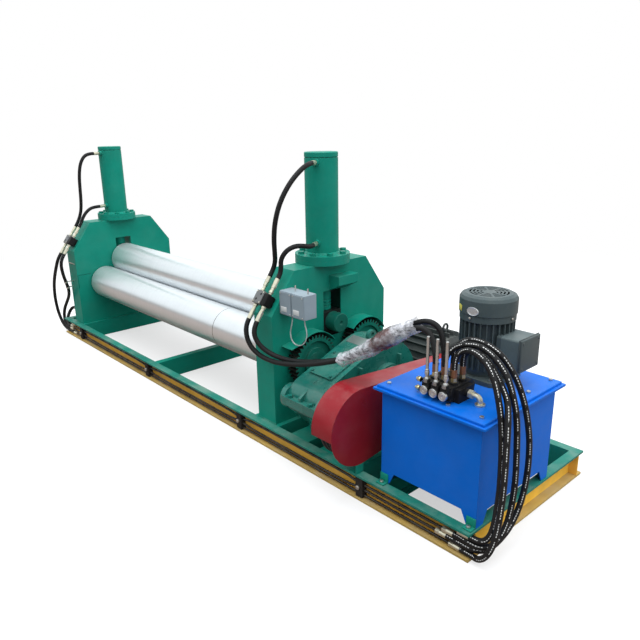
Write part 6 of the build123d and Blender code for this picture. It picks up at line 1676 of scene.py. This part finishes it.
@dataclass
class MotorDress:
    """Grille at the fan end of the main motor."""

    end_x: float = 0.740
    axis: Pair = (0.364, 0.292)
    radii: tuple[float, ...] = (0.030, 0.048, 0.066, 0.084)
    wire: float = 0.0022
    wire_steps: int = 8
    ring_steps: int = 48
    bars: int = 8
    bar_width: float = 0.005
    bar_height: float = 0.00374
    bar_over: float = 0.02
    bar_edge: float = 0.0006

    def build(self) -> list[Piece]:
        """Makes the rings and bars of the grille.

        Returns:
            The grille.
        """
        solid = Solid()
        end = place(Facing.LEFT, (self.end_x, *self.axis))
        turns = [2 * math.pi * step / self.wire_steps for step in range(self.wire_steps + 1)]
        for radius in self.radii:
            ring = [(radius + self.wire * math.cos(turn), self.wire * math.sin(turn)) for turn in turns]
            solid.turned(end, ring, self.ring_steps)
        inner, outer = self.radii[0], self.radii[-1]
        size = (outer - inner + self.bar_over, self.bar_width, self.bar_height)
        turned = [end[0] @ Matrix.Rotation(2 * math.pi * bar / self.bars, 4, "Z") for bar in range(self.bars)]
        solid.block(shift(turned, (inner + outer) / 2, 0.0, -self.wire), size, self.bar_edge)
        return [solid.finish("motor_grille", machine_green, "motor_grey")]


@dataclass
class Studio:
    """Pale floor, soft light and the camera at the photograph's place."""

    eye: Point = (2.5054, -1.7862, 1.2982)
    yaw: float = math.radians(47.79)
    pitch: float = math.radians(17.264)
    roll: float = math.radians(-0.927)
    lens: float = 34.85
    sensor: float = 36.0
    floor_size: float = 60.0
    floor_fade: Pair = (2.0, 4.6)
    floor_glow: float = 0.55
    floor_lit: Point = (0.17, 0.165, 0.16)
    floor_mirrored: Point = (0.26, 0.215, 0.19)
    floor_seen: Point = (0.90, 0.90, 0.90)
    light_tilt: Point = (0.06, 0.13, 0.99)
    light_low: Point = (0.16, 0.165, 0.17)
    light_high: Point = (2.65, 2.7, 2.75)
    horizon: Pair = (0.0, 0.16)
    mirror_low: Point = (0.06, 0.055, 0.055)
    mirror_high: Point = (1.03, 1.09, 1.12)
    white: Point = (1.0, 1.0, 1.0)
    lamps: tuple[tuple[str, Point, Point, float, float], ...] = (
        ("key_lamp", (0.6, -0.9, 5.0), (0.0, 0.0, 0.4), 3.0, 55.0),
        ("fill_lamp", (4.0, 0.6, 3.4), (0.6, 0.0, 0.4), 2.4, 9.0),
    )

    def camera(self) -> Piece:
        """Camera with the photograph's view.

        Returns:
            The camera, set as the scene's own.
        """
        data = bpy.data.cameras.new("photo_camera")
        data.lens = self.lens
        data.sensor_width = self.sensor
        data.sensor_fit = "HORIZONTAL"
        camera = add_object("photo_camera", data)
        sine, cosine = math.sin(self.yaw), math.cos(self.yaw)
        tilt, flat = math.sin(self.pitch), math.cos(self.pitch)
        forward = Vector((-sine * flat, cosine * flat, -tilt))
        right = Vector((cosine, sine, 0.0))
        up = right.cross(forward)
        across = right * math.cos(self.roll) + up * math.sin(self.roll)
        upright = up * math.cos(self.roll) - right * math.sin(self.roll)
        turn = Matrix((across, upright, -forward)).transposed().to_4x4()
        camera.matrix_world = Matrix.Translation(Vector(self.eye)) @ turn
        bpy.context.scene.camera = camera
        return camera

    def floor(self) -> Piece:
        """Wide pale floor, darker where polished metal mirrors it.

        Returns:
            The floor, which isn't part of the machine.
        """
        bm = bmesh.new()
        bmesh.ops.create_grid(bm, x_segments=1, y_segments=1, size=self.floor_size)
        mesh = bpy.data.meshes.new("floor")
        bm.to_mesh(mesh)
        bm.free()
        made, g = start_material("floor_pale")
        path = g.add("ShaderNodeLightPath").outputs
        away = g.vector("LENGTH", g.coords(), output="Value")
        lost = g.times(g.spread(away, *self.floor_fade, self.floor_glow), path["Is Camera Ray"])
        colour = g.mix(path["Is Glossy Ray"], self.floor_lit, self.floor_mirrored)
        colour = g.mix(lost, g.mix(path["Is Camera Ray"], colour, self.floor_seen), (0.0, 0.0, 0.0))
        shader = {"Base Color": colour, "Roughness": 1.0, "Specular IOR Level": 0.0}
        g.surface(shader | {"Emission Color": self.white, "Emission Strength": lost})
        mesh.materials.append(made)
        floor = add_object("floor", mesh)
        return floor

    def sky(self) -> None:
        """White surround that lights mostly from above and darkens towards the horizon in reflections."""
        world = bpy.data.worlds.new("soft_surround")
        bpy.context.scene.world = world
        world.use_nodes = True
        g = Graph(world.node_tree)
        toward = g.add("ShaderNodeTexCoord").outputs["Generated"]
        raised = g.vector("DOT_PRODUCT", toward, self.light_tilt, "Value")
        cast = g.mix(g.spread(raised, 0.0, 1.0), self.light_low, self.light_high)
        mirrored = g.mix(g.spread(g.axis(toward, "Z"), *self.horizon), self.mirror_low, self.mirror_high)
        path = g.add("ShaderNodeLightPath").outputs
        colour = g.mix(path["Is Glossy Ray"], cast, mirrored)
        colour = g.mix(path["Is Camera Ray"], colour, self.white)
        background = g.add("ShaderNodeBackground", {"Color": colour, "Strength": 1.0}).outputs[0]
        g.add("ShaderNodeOutputWorld", {"Surface": background})

    def lamp(self, name: str, spot: Point, aim: Point, size: float, power: float) -> Piece:
        """Soft area lamp.

        Args:
            name: name of the lamp.
            spot: place of the lamp.
            aim: point that it looks at.
            size: side of its square face.
            power: strength in watts.

        Returns:
            The lamp.
        """
        data = bpy.data.lights.new(name, "AREA")
        data.energy = power
        data.size = size
        lamp = add_object(name, data)
        turn = (Vector(aim) - Vector(spot)).to_track_quat("-Z", "Y").to_matrix().to_4x4()
        lamp.matrix_world = Matrix.Translation(Vector(spot)) @ turn
        return lamp

    def build(self) -> list[str]:
        """Sets up the whole studio.

        Returns:
            Names of what was set up.
        """
        bpy.context.scene.view_settings.view_transform = "Standard"
        self.sky()
        lamps = [self.lamp(*lamp) for lamp in self.lamps]
        return [made.name for made in (self.camera(), self.floor(), *lamps)]


def main() -> None:
    """Builds the studio and dresses the machine, sub-assembly by sub-assembly."""
    logging.basicConfig(level=logging.INFO, format="%(name)s: %(message)s")
    for name in Studio().build() + CadDress().build():
        LOG.info("set up %s", name)
    pieces = HoseSet().build() + [WrapFilm().build()]
    dresses = (LineDress(), RollDress(), ReducerDress(), PumpDress(), TankDress(), ValveDress())
    for dress in (*dresses, LockDress(), SwitchDress(), StandDress(), MotorDress()):
        pieces += dress.build()
    for piece in pieces:
        LOG.info("built %s", piece.name)


if __name__ == "__main__":
    main()
